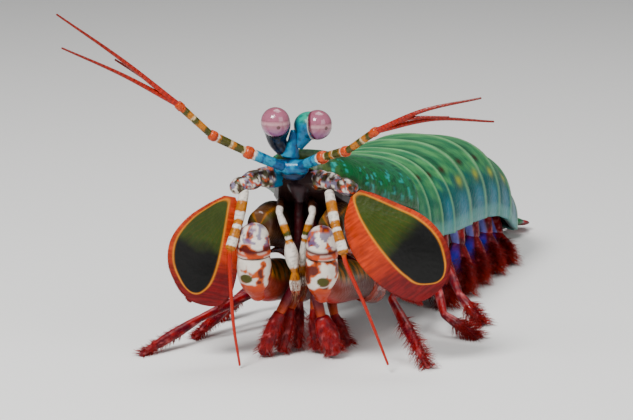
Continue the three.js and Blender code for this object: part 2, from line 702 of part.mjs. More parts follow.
// First maxillipeds: slender banded cleaning limbs that meet below the mouth
const FIRST_MAXILLIPEDS = {
  r: [V(-3.4, 6.5, 33), V(-3.7, 1.0, 31.3), V(-1.7, -1.2, 26.2), V(-0.5, -2.2, 19.6), V(-0.3, -2.0, 14.8)],
  l: [V(2.8, 6.5, 33.6), V(3.2, 0.6, 31.2), V(1.6, -0.6, 26.4), V(1.0, 1.2, 19.6), V(1.2, 1.6, 15.0)],
};
const MAXILLIPED_WIDTHS = { r: [0.8, 0.85, 1.45, 1.2], l: [0.8, 0.85, 0.85, 0.95] };
for (const [side, joints] of Object.entries(FIRST_MAXILLIPEDS)) {
  const draw = makeDraw(side === 'l' ? 31 : 37);
  const widths = MAXILLIPED_WIDTHS[side];
  const pieces = [0, 1, 2, 3].map((k) => bulge(joints[k], joints[k + 1], 0.6, widths[k], 0.7, SIDE_X));
  const outward = side === 'l' ? 1 : -1;
  pieces.push(...bristleRow(joints[3], joints[4], V(outward * 0.5, -0.6, -0.7).normalize(),
    { count: 5, length: 2.6, radius: 0.28, spread: 0.5, draw }));
  addNode(mouthGroup, `maxilliped_1_${side}`, offTrunk(unite(pieces)), joints[1], WHITE, 0.35);
}

// Raptorial claws, folded: merus forward, carpus at the front, propodus back below it,
// and the dactyl with its club heel at the rear end of the propodus
const CLAWS = {
  r: {
    merus: [V(-7.6, 0.4, 28.6), V(-5.2, 8, 27.6), V(-1.2, 18, 24.8), V(1.0, 24, 25.5)],
    carpus: [V(-8.8, -1.6, 27.0), V(-8.9, -2.2, 24.2), V(-8.9, -2.1, 22.4)],
    front: [V(-8.9, -2.0, 23.8), V(-8.8, -1.8, 20.5), V(-8.5, -1.0, 17.2), V(-8.1, -0.2, 14.6)],
    propodus: [V(-7.8, -1.4, 18.4), V(-6.6, 3, 16.6), V(-3.6, 12, 14.8), V(-1.2, 20, 12.4)],
    club: [V(-0.6, 22.6, 11.4), V(0.6, 27, 10.0)],
    blade: [V(-0.6, 22.8, 17.0), V(-3.6, 14, 20.7), V(-5.6, 7, 21.9)],
    girth: 3.6,
  },
  l: {
    merus: [V(7.0, -1.4, 28.4), V(9.0, 7, 27.6), V(12.2, 17, 24.8), V(14.0, 23, 25.5)],
    carpus: [V(5.0, -3.4, 27.0), V(5.1, -4.2, 24.2), V(5.1, -4.1, 22.4)],
    front: [V(5.1, -4.0, 23.8), V(5.1, -3.8, 20.5), V(5.1, -3.0, 17.2), V(5.2, -2.0, 14.6)],
    propodus: [V(5.5, -3.4, 18.6), V(7.2, 1, 16.6), V(10.8, 11, 14.8), V(13.6, 19, 12.4)],
    club: [V(14.2, 21.6, 11.4), V(16.0, 26, 10.0)],
    blade: [V(14.4, 21.8, 17.0), V(10.8, 13, 20.7), V(8.6, 6, 21.9)],
    girth: 3.4,
  },
};
// Radii of the carpus and of the propodus's rounded front, as shares of the claw's girth
const CARPUS_SHARES = [[0.85, 0.84], [0.98, 0.94], [0.92, 0.88]];
const FRONT_SHARES = [[0.88, 0.86], [1.0, 0.97], [0.9, 0.9], [0.5, 0.55]];
const MERUS_RADII = [[2.8, 3.6], [3.3, 4.8], [3.0, 4.2], [2.0, 2.6]];
const PROPODUS_RADII = [[3.0, 3.4], [3.5, 4.4], [3.4, 4.4], [2.8, 3.4]];
const HEEL_RADII = [[3.2, 3.9], [3.4, 3.8]];
const BLADE_RADII = [[1.0, 1.4], [0.8, 0.9], [0.3, 0.35]];
const BLADE_ROOT_RADII = [1.8, 1.4, 1.1];
const WRIST_HEIGHT_SHARE = 0.3;
const CLAW_SIDES = 10;
const ROUND = { sides: CLAW_SIDES, dome: 0.9 };
const sized = (shares, girth) => shares.map(([a, b]) => [a * girth, b * girth]);
for (const [side, claw] of Object.entries(CLAWS)) {
  const seatTop = along(claw.carpus[0], claw.merus[0], 0.5);
  const merusAim = claw.merus[1].clone().sub(claw.merus[0]).normalize();
  const wristAim = claw.front[1].clone().sub(claw.carpus[1]).normalize();
  const wristPoint = along(claw.carpus[1], claw.front[1], WRIST_HEIGHT_SHARE);
  const heelAim = claw.club[1].clone().sub(claw.propodus[3]).normalize();
  const heelPoint = along(claw.propodus[3], claw.club[0], 0.5);
  const half = JOINT_GAP / 2;
  // Keeps what lies beyond a joint's plane, or before it, half a gap away from the plane
  const beyond = (shape, point, aim) => ahead(shape, point.clone().addScaledVector(aim, half), aim);
  const before = (shape, point, aim) => beyond(shape, point, aim.clone().negate());
  const merusShape = (extra) => toManifold(
    segment(claw.merus, thicker(MERUS_RADII, extra), SIDE_X, { sides: CLAW_SIDES }),
  );
  const propodusShape = (extra) => toManifold(
    segment(claw.propodus, thicker(PROPODUS_RADII, extra), SIDE_X, ROUND),
  );

  const merus = offTrunk(beyond(merusShape(0), seatTop, merusAim));
  addNode(mouthGroup, `claw_merus_${side}`, merus, claw.merus[1], BROWN, 0.35);

  const carpus = toManifold(segment(claw.carpus, sized(CARPUS_SHARES, claw.girth), SIDE_X, ROUND));
  addNode(mouthGroup, `claw_carpus_${side}`,
    before(before(carpus, seatTop, merusAim), wristPoint, wristAim), claw.carpus[1], WHITE, 0.3);

  const front = toManifold(segment(claw.front, sized(FRONT_SHARES, claw.girth), SIDE_X, ROUND));
  addNode(mouthGroup, `claw_propodus_${side}`,
    before(beyond(front.add(propodusShape(0)), wristPoint, wristAim), heelPoint, heelAim),
    claw.propodus[1], ORANGE, 0.3);

  const heel = beyond(toManifold(segment(claw.club, HEEL_RADII, SIDE_X, ROUND)), heelPoint, heelAim);
  const blade = unite([
    segment(claw.blade, BLADE_RADII, SIDE_X),
    bulge(claw.club[1], claw.blade[0], ...BLADE_ROOT_RADII, SIDE_X),
  ]).subtract(propodusShape(JOINT_GAP)).subtract(merusShape(JOINT_GAP));
  addNode(mouthGroup, `claw_dactyl_${side}`, heel.add(blade), claw.club[0], RED, 0.25);
}

// Third to fifth maxillipeds: red, bristly, each ending in a small folded hand
const HANDS = {
  maxilliped_3_r: { width: 1.6, run: [V(0.4, 8, 33), V(0.2, 4.2, 16.5), V(-3.8, 3.6, 9.2), V(-7.2, 3.0, 1.0)] },
  maxilliped_4_r: { width: 1.5, run: [V(2.2, 12, 32), V(1.8, 8.6, 17), V(-1.6, 6.6, 9.4), V(-3.4, 5.2, 1.0)] },
  maxilliped_5_r: { width: 1.2, run: [V(4.0, 18, 31), V(3.0, 14, 18), V(0.3, 10, 10.4), V(0.1, 8.2, 1.0)] },
  maxilliped_3_l: { width: 2.3, run: [V(3.4, 7.6, 33), V(3.0, 3.6, 16.5), V(5.2, 3.4, 8.0), V(7.8, 2.2, 1.4)] },
  maxilliped_4_l: { width: 1.2, run: [V(5.2, 11, 32), V(4.2, 8.2, 18), V(3.5, 7.4, 9.4), V(3.8, 6.4, 1.0)] },
  maxilliped_5_l: { width: 1.3, run: [V(7.0, 17, 31), V(5.8, 14.2, 16), V(7.8, 12, 6.8), V(10.6, 10, 1.0)] },
};
const HAND_BRISTLES = { count: 4, length: 2.4, radius: 0.26, spread: 1.3 };
const HAND_BRISTLE_AIMS = [V(-0.7, -0.6, -0.3), V(0.7, -0.6, -0.3), V(0, -0.9, -0.4)];
const SEED_STEP = 12;
let handSeed = 101;
for (const [name, data] of Object.entries(HANDS)) {
  const draw = makeDraw(handSeed);
  handSeed += SEED_STEP;
  const [shoulder, elbow, wrist, tip] = data.run;
  const wide = data.width;
  const pieces = [
    bulge(shoulder, elbow, 1.0, 1.0, 0.8, SIDE_X),
    bulge(elbow, wrist, 0.8, 1.1, 0.9, SIDE_X),
    bulge(wrist, tip, wide * 0.75, [wide, wide * 0.8], wide * 0.6, SIDE_X),
  ];
  for (const aim of HAND_BRISTLE_AIMS) {
    const lean = aim.clone().normalize();
    pieces.push(...bristleRow(along(wrist, tip, 0.3), tip, lean, { ...HAND_BRISTLES, draw }));
  }
  addNode(mouthGroup, name, onFloor(offTrunk(unite(pieces))), elbow, RED, 0.4);
}

// Walking legs: slender, with a bristly last length resting on the floor
const LEGS = {
  leg_1_l: { row: 2, across: 0.55, run: [V(25, 25, 13), V(19.8, 9.5, 11), V(27, -6.6, 0.45)] },
  leg_1_r: { row: 2, across: -0.42, run: [V(-4, 30, 10.5), V(-21, 15, 5.4), V(-32.8, 3.6, 0.45)] },
  leg_2_l: { row: 3, across: 0.55, run: [V(29.5, 34, 12), V(31.5, 22, 4.6), V(38.6, 18, 0.45)] },
  leg_2_r: { row: 3, across: -0.42, run: [V(-3, 38, 10.2), V(-14.6, 26, 6.0), V(-22.4, 17.8, 0.45)] },
  leg_3_l: { row: 4, across: 0.55, run: [V(32.5, 43, 12), V(35.5, 35, 6), V(40.4, 30, 0.45)] },
  leg_3_r: { row: 4, across: -0.42, run: [V(0, 46, 10.2), V(-11, 40, 6.4), V(-17.6, 34, 0.45)] },
};
const LEG_RADII = [[0.8, 1.3, 0.75], [0.8, 1.05, 0.75], [0.8, 1.15, 0.5]];
const LEG_ROOT_DEPTH = 1 - RECESS - 0.08;
const FOOT_BRISTLES = { count: 5, length: 3.4, radius: 0.28, spread: 0.9 };
let legSeed = 223;
for (const [name, data] of Object.entries(LEGS)) {
  const draw = makeDraw(legSeed);
  legSeed += SEED_STEP;
  const base = spot(between(data.row, 0.5), data.across, LEG_ROOT_DEPTH);
  const joints = [base, ...data.run];
  const pieces = LEG_RADII.map((radii, k) => bulge(joints[k], joints[k + 1], ...radii, SIDE_X));
  const outward = Math.sign(data.across);
  const shin = along(joints[2], joints[3], 0.35);
  for (const aim of [V(outward * 0.3, -0.3, 0.9), V(-outward * 0.2, -0.95, 0.1), V(outward * 0.8, 0.4, 0.2)]) {
    pieces.push(...bristleRow(shin, joints[3], aim.normalize(), { ...FOOT_BRISTLES, draw }));
  }
  addNode(thoraxGroup, name, onFloor(offTrunk(unite(pieces))), base, CRIMSON, 0.4);
}

// Swimming legs: a stout base, an outer and an inner leaf, with fringe and gill filaments
const PLEOPOD_ROWS = [5, 6, 7, 8, 9];
const PLEOPOD_ACROSS = 0.58;
const PLEOPOD_ROOT_DEPTH = 1 - RECESS - 0.1;
const OUTER_FRINGE = { count: 5, length: 4.2, radius: 0.34, spread: 1.0 };
const FRONT_FRINGE = { count: 4, length: 4.6, radius: 0.34, spread: 0.6 };
const SWIM_SEED_STEP = 14;
let swimSeed = 307;
PLEOPOD_ROWS.forEach((row, index) => {
  for (const side of [1, -1]) {
    const draw = makeDraw(swimSeed);
    swimSeed += SWIM_SEED_STEP;
    const station = between(row, 0.5);
    const head = station.back.clone().setZ(0).normalize().negate();
    const wide = station.right.clone().multiplyScalar(side);
    const base = spot(station, side * PLEOPOD_ACROSS, PLEOPOD_ROOT_DEPTH);
    const room = Math.max(base.z - FLOOR_LEVEL, 2);
    const place = (out, forward, height) => base.clone().setZ(FLOOR_LEVEL + height)
      .addScaledVector(wide, out).addScaledVector(head, forward);
    const knee = place(3.0, 3.5, room * 0.5);
    const outerTip = place(6.4, 10.0, 2.4);
    const innerTip = place(0.4, 8.5, 2.6);
    const face = wide.clone().addScaledVector(head, 0.55).normalize();
    const flat = head.clone().addScaledVector(wide, -0.55).normalize();
    const pieces = [
      bulge(base, knee, [2.2, 1.6], [2.4, 1.7], [1.8, 1.4], flat),
      bulge(knee, outerTip, [1.6, 0.9], [3.2, 0.9], [1.4, 0.7], flat),
      bulge(knee, innerTip, [1.4, 0.8], [2.6, 0.8], [1.2, 0.6], wide),
    ];
    const outAndDown = face.clone().addScaledVector(floorDown, 0.5).normalize();
    const frontAndDown = flat.clone().addScaledVector(floorDown, 0.4).normalize();
    pieces.push(...bristleRow(along(knee, outerTip, 0.3), outerTip, outAndDown, { ...OUTER_FRINGE, draw }));
    pieces.push(...bristleRow(along(knee, outerTip, 0.45), outerTip, frontAndDown, { ...FRONT_FRINGE, draw }));
    addNode(abdomenGroup, `swimming_leg_${index + 1}_${side > 0 ? 'l' : 'r'}`,
      onFloor(offTrunk(unite(pieces))), base, RED, 0.4);
  }
});

// Telson: a broad keeled plate with six marginal teeth, its tip on the floor
const tailStation = stations[stations.length - 1];
const TELSON_SLOPE = 27;
const TELSON_LENGTH = 19;
const telsonFrame = frameAt(4, TELSON_SLOPE);
const TELSON_PROFILE = [
  [0, 10.6, 3.4], [0.15, 11.8, 3.6], [0.45, 12.4, 3.2], [0.75, 10.2, 2.4], [0.92, 6.6, 1.6], [1, 4.2, 1.1],
];
const KEEL_RISE = 1.25;
// Marginal teeth: place along the plate, half width there, length
const TELSON_TEETH = [[0.62, 11.2, 3.0], [0.8, 9.0, 3.4], [0.95, 4.6, 3.6]];
const TOOTH_INSET = 1.2;
const TOOTH_DEPTH = 1.0;
const TOOTH_RADIUS = 0.9;
const telsonTop = spot(tailStation, 0, 0.12, 0.4);
function telsonShape(extra) {
  const rings = TELSON_PROFILE.map(([t, halfWidth, thick]) => {
    const ring = [];
    const count = 14;
    for (let i = 0; i < count; i += 1) {
      const angle = 2 * Math.PI * i / count;
      const x = Math.cos(angle) * (halfWidth + extra);
      const keel = Math.sin(angle) > 0.9 ? KEEL_RISE : 1;
      const y = Math.sin(angle) * (thick / 2 + extra) * keel - thick / 2;
      ring.push(telsonTop.clone()
        .addScaledVector(telsonFrame.right, x)
        .addScaledVector(telsonFrame.up, y)
        .addScaledVector(telsonFrame.back, t * TELSON_LENGTH));
    }
    return ring;
  });
  return toManifold(loft(rings));
}
const teeth = [];
for (const side of [-1, 1]) {
  for (const [t, x, length] of TELSON_TEETH) {
    const root = telsonTop.clone()
      .addScaledVector(telsonFrame.right, side * (x - TOOTH_INSET))
      .addScaledVector(telsonFrame.back, t * TELSON_LENGTH)
      .addScaledVector(telsonFrame.up, -TOOTH_DEPTH);
    const aim = telsonFrame.back.clone().addScaledVector(telsonFrame.right, side * 0.25);
    teeth.push(toManifold(bristle(root, aim, length, TOOTH_RADIUS)));
  }
}
const telson = Manifold.union([telsonShape(0), ...teeth]);
addNode(tailGroup, 'telson', onFloor(offTrunk(telson)), telsonTop, GREEN, 0.45);

// Tail fans: a base joint from the last somite, an outer two-part paddle and an inner leaf
const FAN_FRINGE = { count: 5, length: 3.0, radius: 0.3, spread: 0.2 };
for (const side of [1, -1]) {
  const wide = telsonFrame.right.clone().multiplyScalar(side);
  const back = telsonFrame.back.clone().setZ(0).normalize();
  const root = spot(tailStation, side * 0.78, 0.5, -1.5);
  const put = (out, behind, height) => root.clone().setZ(height)
    .addScaledVector(wide, out).addScaledVector(back, behind);
  const elbow = put(1.6, 4.5, 4.6);
  const draw = makeDraw(side > 0 ? 401 : 419);
  const pieces = [
    bulge(root, elbow, [1.8, 1.6], [2.2, 1.7], [1.8, 1.4], wide),
    bulge(elbow, put(3.8, 11, 3.0), [2.0, 1.0], [2.8, 1.1], [2.2, 0.8], wide),
    bulge(put(4.0, 12, 2.8), put(4.6, 18, 1.2), [1.9, 0.7], [3.0, 0.8], [1.8, 0.6], wide),
    bulge(elbow, put(0.2, 13.5, 1.1), [1.2, 0.8], [1.9, 0.8], [1.2, 0.6], wide),
  ];
  const outAndBack = wide.clone().addScaledVector(back, 0.6).normalize();
  pieces.push(...bristleRow(put(5.4, 13, 2.2), put(5.0, 18.5, 1.0), outAndBack, { ...FAN_FRINGE, draw }));
  addNode(tailGroup, `tail_fan_${side > 0 ? 'l' : 'r'}`,
    onFloor(offTrunk(unite(pieces)).subtract(telsonShape(JOINT_GAP))), root, TEAL, 0.4);
}

// Stands the animal on the floor with its bounding box centred over the origin
const box = new THREE.Box3().setFromObject(animal);
const middle = box.getCenter(new THREE.Vector3());
animal.position.set(-middle.x, -middle.y, -box.min.z);

const part = new THREE.Group();
part.name = 'part';
part.add(animal);
export default part;
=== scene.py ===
import math
import random

import bpy
import numpy as np
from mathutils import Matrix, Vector, noise


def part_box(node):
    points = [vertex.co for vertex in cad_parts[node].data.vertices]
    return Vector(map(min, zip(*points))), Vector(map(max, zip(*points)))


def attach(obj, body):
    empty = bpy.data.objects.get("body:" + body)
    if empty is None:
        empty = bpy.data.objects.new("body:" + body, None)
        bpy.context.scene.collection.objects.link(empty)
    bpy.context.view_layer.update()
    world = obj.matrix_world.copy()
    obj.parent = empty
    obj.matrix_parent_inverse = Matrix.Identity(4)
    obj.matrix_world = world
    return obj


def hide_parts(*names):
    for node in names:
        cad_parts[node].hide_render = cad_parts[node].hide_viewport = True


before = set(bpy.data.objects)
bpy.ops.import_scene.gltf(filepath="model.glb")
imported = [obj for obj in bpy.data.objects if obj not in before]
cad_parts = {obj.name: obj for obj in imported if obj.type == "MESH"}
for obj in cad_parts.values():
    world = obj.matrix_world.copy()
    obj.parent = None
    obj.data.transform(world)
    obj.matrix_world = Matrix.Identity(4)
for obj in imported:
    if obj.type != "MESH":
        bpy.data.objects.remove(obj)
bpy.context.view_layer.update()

# Sizes are in millimetres in the pose frame: X to the viewer's right, Y away, floor at Z = 0.
# The head centre stands over the pose origin; SHIFT takes pose points to the frame's own origin.
MM = 0.001
CORNEA_R_CENTRE = np.array([-4.4, 0.0, 50.4])
CORNEA_RADIUS = 3.0
GAP = 0.3
LOWEST = 0.02
eye_low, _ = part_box("cornea_r")
SHIFT = np.array([
    eye_low[0] / MM - (CORNEA_R_CENTRE[0] - CORNEA_RADIUS),
    eye_low[1] / MM - (CORNEA_R_CENTRE[1] - CORNEA_RADIUS),
    0.0,
])

# Colours, linear
WHITE = (0.66, 0.60, 0.52)
CREAM = (0.52, 0.38, 0.20)
ORANGE = (0.44, 0.045, 0.001)
FLAME = (0.36, 0.010, 0.0006)
GOLD = (0.36, 0.115, 0.002)
OLIVE = (0.050, 0.046, 0.002)
LEAF = (0.012, 0.045, 0.0015)
BLACK = (0.0012, 0.0012, 0.001)
MAROON = (0.055, 0.002, 0.003)
BROWN = (0.035, 0.010, 0.004)
RED = (0.24, 0.002, 0.003)
CRIMSON = (0.085, 0.0008, 0.008)
PLUM = (0.014, 0.002, 0.004)
CYAN = (0.004, 0.20, 0.34)
BLUE = (0.001, 0.060, 0.17)
NAVY = (0.0012, 0.002, 0.012)
TEAL = (0.001, 0.075, 0.080)
EMERALD = (0.002, 0.10, 0.024)
SEA_GREEN = (0.008, 0.125, 0.050)
PALE_GREEN = (0.065, 0.26, 0.080)
DARK_GREEN = (0.0015, 0.026, 0.013)
LAVENDER = (0.18, 0.19, 0.62)
VIOLET = (0.022, 0.018, 0.50)
GREY_VIOLET = (0.10, 0.075, 0.16)
PINK = (0.30, 0.095, 0.145)
PALE_PINK = (0.46, 0.24, 0.26)
YELLOW = (0.34, 0.36, 0.02)
BAND_GREEN = (0.26, 0.48, 0.22)
EDGE_GREEN = (0.10, 0.32, 0.28)
TURQUOISE = (0.010, 0.30, 0.26)
MAUVE = (0.26, 0.12, 0.28)
ROSE = (0.24, 0.05, 0.08)
WINE = (0.09, 0.003, 0.02)
JADE = (0.004, 0.28, 0.16)
RUST = (0.20, 0.010, 0.004)
DARK_SETA = (0.12, 0.002, 0.003)
GOLD_LINE = (0.62, 0.20, 0.004)
FRINGE_RED = (0.14, 0.002, 0.004)
CLAW_ORANGE = (0.42, 0.060, 0.001)
ARM_BROWN = (0.085, 0.032, 0.010)
CLAW_TIP = (0.34, 0.022, 0.001)
PALM_BROWN = (0.055, 0.010, 0.005)
PALM_RIM = (0.26, 0.014, 0.012)
CLUB_RED = (0.30, 0.030, 0.012)
FLECK = (0.45, 0.10, 0.10)
SOOT = (0.006, 0.002, 0.004)
UMBER = (0.020, 0.006, 0.004)

X, Y, Z = np.eye(3)


def V(*p):
    return np.array(p, float)


def unit(v):
    return v / max(np.linalg.norm(v), 1e-9)


def mix(a, b, t):
    return np.asarray(a, float) * (1 - t) + np.asarray(b, float) * t


def smooth(t):
    t = min(max(t, 0.0), 1.0)
    return t * t * (3 - 2 * t)


def peak(t, centre, width):
    return math.exp(-((t - centre) / width) ** 2)


def blotch(p, scale, seed=0.0):
    """Smooth noise of a point, about -1 to 1, in two octaves."""
    place = Vector((p[0] * scale + seed, p[1] * scale - seed, p[2] * scale + 2 * seed))
    return noise.noise(place) * 1.3 + noise.noise(place * 2.3) * 0.5


def speck(p, scale, seed, level, edge=0.12):
    """Share of a speckle: 1 inside spots where the noise passes the level."""
    return smooth((blotch(p, scale, seed) - level) / edge + 0.5)


def banded(stops, ragged=0.03):
    """A colour along a limb: each stop is the share at which its colour begins."""
    def colour(t, n, p):
        t = t + ragged * blotch(p, 1.6, 5)
        k = max([i for i, stop in enumerate(stops) if t >= stop[0]], default=0)
        before = stops[max(k - 1, 0)][1]
        tint = mix(before, stops[k][1], smooth((t - stops[k][0]) / 0.03))
        return tint * (1 - 0.35 * speck(p, 2.2, 9, 0.35))
    return colour


def hermite(table, t):
    """A smooth curve through the points of a table."""
    k = max(i for i in range(len(table) - 1) if t >= table[i][0])
    (t0, v0), (t1, v1) = table[k], table[k + 1]
    before, after = table[max(k - 1, 0)], table[min(k + 2, len(table) - 1)]
    span = t1 - t0
    m0 = (v1 - before[1]) / (t1 - before[0]) * span
    m1 = (after[1] - v0) / (after[0] - t0) * span
    u = (t - t0) / span
    return ((2 * u ** 3 - 3 * u ** 2 + 1) * v0 + (u ** 3 - 2 * u ** 2 + u) * m0
            + (3 * u ** 2 - 2 * u ** 3) * v1 + (u ** 3 - u ** 2) * m1)


def run_through(points, steps):
    """A smooth curve through a few points."""
    points = [np.asarray(p, float) for p in points]
    ends = [2 * points[0] - points[1]] + points + [2 * points[-1] - points[-2]]
    result = []
    for k in range(steps + 1):
        where = k / steps * (len(points) - 1)
        i = min(int(where), len(points) - 2)
        t = where - i
        p0, p1, p2, p3 = ends[i:i + 4]
        result.append(0.5 * ((2 * p1) + (p2 - p0) * t + (2 * p0 - 5 * p1 + 4 * p2 - p3) * t * t
                             + (3 * p1 - p0 - 3 * p2 + p3) * t ** 3))
    return result


def profile(table, steps):
    """Radii pairs along a run, smoothly through the named ones."""
    marks = np.linspace(0, 1, len(table))
    tables = [[(m, row[i]) for m, row in zip(marks, table)] for i in (0, 1)]
    return [tuple(hermite(column, min(k / steps, 0.9999)) for column in tables) for k in range(steps + 1)]


# A skin collects points, faces and the colour of each point; setae add their places for the bake
DOME_ANGLES = (0.25, 0.55, 0.85, 1.15, 1.4)
HAIR_RINGS = (-0.08, 0.35, 0.72)
HAIR_ANGLES = (0.0, 2.09, 4.19)


def lift(points):
    """Raises points that lie under the floor, in place."""
    for p in points:
        p[2] = max(p[2], LOWEST)


class Skin:
    def __init__(self):
        self.points, self.faces, self.colours, self.roots = [], [], [], []

    def rings(self, rings, start=None, end=None):
        """Joins rings of point and colour pairs and closes both ends."""
        count = len(rings[0])
        first = len(self.points)
        for point, tint in (pair for ring in rings for pair in ring):
            self.points.append(point)
            self.colours.append(tint)
        for r in range(len(rings) - 1):
            for i in range(count):
                j = (i + 1) % count
                a = first + r * count
                b = a + count
                self.faces.append((a + i, a + j, b + j, b + i))
        for ring, tip in ((0, start), (len(rings) - 1, end)):
            base = first + ring * count
            centre = len(self.points)
            self.points.append(np.mean(self.points[base:base + count], axis=0) if tip is None else tip)
            self.colours.append(self.colours[base])
            for i in range(count):
                j = (i + 1) % count
                edge = (base + j, base + i) if ring == 0 else (base + i, base + j)
                self.faces.append((centre, *edge))

    def tube(self, path, radii, side, colour, sides=16, dome=0.6):
        """A tube with domed ends; colour is asked with the share along, outward direction and point."""
        path = [np.asarray(p, float) for p in path]
        last = len(path) - 1
        rings = []
        angles = [2 * math.pi * k / sides for k in range(sides)]

        def add_ring(centre, heading, ra, rb, t):
            a = unit(side - heading * np.dot(side, heading))
            b = np.cross(heading, a)
            outs = [a * math.cos(w) + b * math.sin(w) for w in angles]
            ring = [centre + a * ra * math.cos(w) + b * rb * math.sin(w) for w in angles]
            rings.append([(p, colour(t, n, p)) for n, p in zip(outs, ring)])

        def heading(i):
            return unit(path[min(i + 1, last)] - path[max(i - 1, 0)])

        start_reach, end_reach = dome * min(radii[0]), dome * min(radii[-1])
        for w in DOME_ANGLES:
            add_ring(path[0] - heading(0) * start_reach * math.cos(w), heading(0),
                     radii[0][0] * math.sin(w), radii[0][1] * math.sin(w), 0.0)
        for i, p in enumerate(path):
            add_ring(p, heading(i), *radii[i], i / last)
        for w in reversed(DOME_ANGLES):
            add_ring(path[-1] + heading(last) * end_reach * math.cos(w), heading(last),
                     radii[-1][0] * math.sin(w), radii[-1][1] * math.sin(w), 1.0)
        self.rings(rings, path[0] - heading(0) * start_reach, path[-1] + heading(last) * end_reach)

    def limb(self, points, table, steps, side, colour, sides, dome=0.6):
        """A tube along a smooth curve, with radii read smoothly from a table."""
        self.tube(run_through(points, steps), profile(table, steps), side, colour, sides, dome)

    def bulge(self, a, b, r0, r1, r2, side, colour, sides=16, steps=14):
        keys = [np.ones(2) * np.asarray(r, float) for r in (r0, r1, r2)]
        middle = keys[1] - mix(keys[0], keys[2], 0.5)
        path = [mix(a, b, k / steps) for k in range(steps + 1)]
        radii = [tuple(mix(keys[0], keys[2], k / steps) + middle * math.sin(math.pi * k / steps))
                 for k in range(steps + 1)]
        self.tube(path, radii, side, colour, sides)

    def whip(self, points, r0, r1, colour, sides=8, steps=48):
        path = run_through(points, steps)
        radii = [(mix(r0, r1, k / steps),) * 2 for k in range(steps + 1)]
        side = X if abs(unit(path[-1] - path[0])[2]) > 0.8 else Z
        self.tube(path, radii, side, colour, sides, dome=0.5)

    def hair(self, root, aim, length, radius, tint, droop, place):
        """One tapered seta; its root's place on the skin's unwrap is kept for the bake."""
        aim = unit(aim)
        side = unit(np.cross(aim, Z if abs(aim[2]) < 0.8 else X))
        other = np.cross(aim, side)
        tip = root + aim * length - Z * droop * length
        tip_tint = mix(tint, FLAME, 0.35)
        rings = []
        for t in HAIR_RINGS:
            centre = root + aim * length * t - Z * droop * length * t * abs(t)
            r = radius * (1 - 0.75 * max(t, 0))
            shade = mix(tint, tip_tint, max(t, 0))
            ring = [centre + side * r * math.cos(w) + other * r * math.sin(w) for w in HAIR_ANGLES]
            lift(ring)
            rings.append([(p, shade) for p in ring])
        lift([tip])
        before = len(self.points)
        self.rings(rings, None, tip)
        self.roots += [place] * (len(self.points) - before)


# Materials: the painted colour of each point, broken up by noise, with fine relief
BUMP_DEPTH = 0.0002


def new_material(name):
    """A material, its shader, and functions that add a node and join two sockets."""
    material = bpy.data.materials.new(name)
    material.use_nodes = True
    tree = material.node_tree

    def node(kind, **values):
        made = tree.nodes.new("ShaderNode" + kind)
        for key, value in values.items():
            made.inputs[key.replace("_", " ")].default_value = value
        return made

    def join(source, output, target, socket):
        tree.links.new(source.outputs[output], target.inputs[socket])

    return material, tree.nodes["Principled BSDF"], node, join


def shell_material(name, roughness, relief, grain, mottle, coat=0.0, contrast=0.35, shine=0.22):
    material, shader, node, join = new_material(name)
    paint = node("VertexColor")
    paint.layer_name = "paint"
    place = node("TexCoord")
    cloud = node("TexNoise", Scale=mottle, Detail=6.0)
    level = node("MapRange", To_Min=1 - contrast, To_Max=1 + contrast)
    shade = node("HueSaturation")
    fine = node("TexNoise", Scale=grain, Detail=4.0)
    pits = node("TexVoronoi", Scale=grain * 0.7)
    height = node("Math")
    height.operation = "ADD"
    bump = node("Bump", Strength=relief, Distance=BUMP_DEPTH)
    rough = node("MapRange", To_Min=max(roughness - 0.1, 0.03), To_Max=roughness + 0.12)
    for pattern in (cloud, fine, pits):
        join(place, "Object", pattern, "Vector")
    join(cloud, "Fac", level, "Value")
    join(level, "Result", shade, "Value")
    join(paint, "Color", shade, "Color")
    join(shade, "Color", shader, "Base Color")
    join(fine, "Fac", height, 0)
    join(pits, "Distance", height, 1)
    join(height, "Value", bump, "Height")
    join(bump, "Normal", shader, "Normal")
    join(fine, "Fac", rough, "Value")
    join(rough, "Result", shader, "Roughness")
    shader.inputs["Coat Weight"].default_value = coat
    shader.inputs["Specular IOR Level"].default_value = shine
    return material


MATERIALS = {
    "green_shell": shell_material("shell green banded", 0.42, 0.4, 1400, 260, 0.03),
    "blue_shell": shell_material("shell blue", 0.30, 0.35, 1800, 420, 0.15, 0.5),
    "cornea_globe": shell_material("cornea", 0.12, 0.06, 3800, 500, 0.4, 0.12, 0.5),
    "banded_orange": shell_material("antennule banded", 0.34, 0.35, 2200, 700, 0.1),
    "spotted_white": shell_material("limb white spotted", 0.32, 0.4, 1900, 650, 0.08, 0.25),
    "scale_vane": shell_material("scale vane", 0.42, 0.3, 1500, 330, 0.04, 0.45),
    "red_limb": shell_material("limb crimson", 0.36, 0.5, 2000, 520, 0.1, 0.45),
    "orange_claw": shell_material("claw orange", 0.32, 0.3, 1700, 380, 0.08, 0.3),
    "red_club": shell_material("club red brown", 0.20, 0.3, 1500, 300, 0.4),
    "dark_shell": shell_material("shell dark", 0.34, 0.5, 1500, 420, 0.1),
    "setae": shell_material("setae", 0.5, 0.2, 3000, 900, 0.0),
}


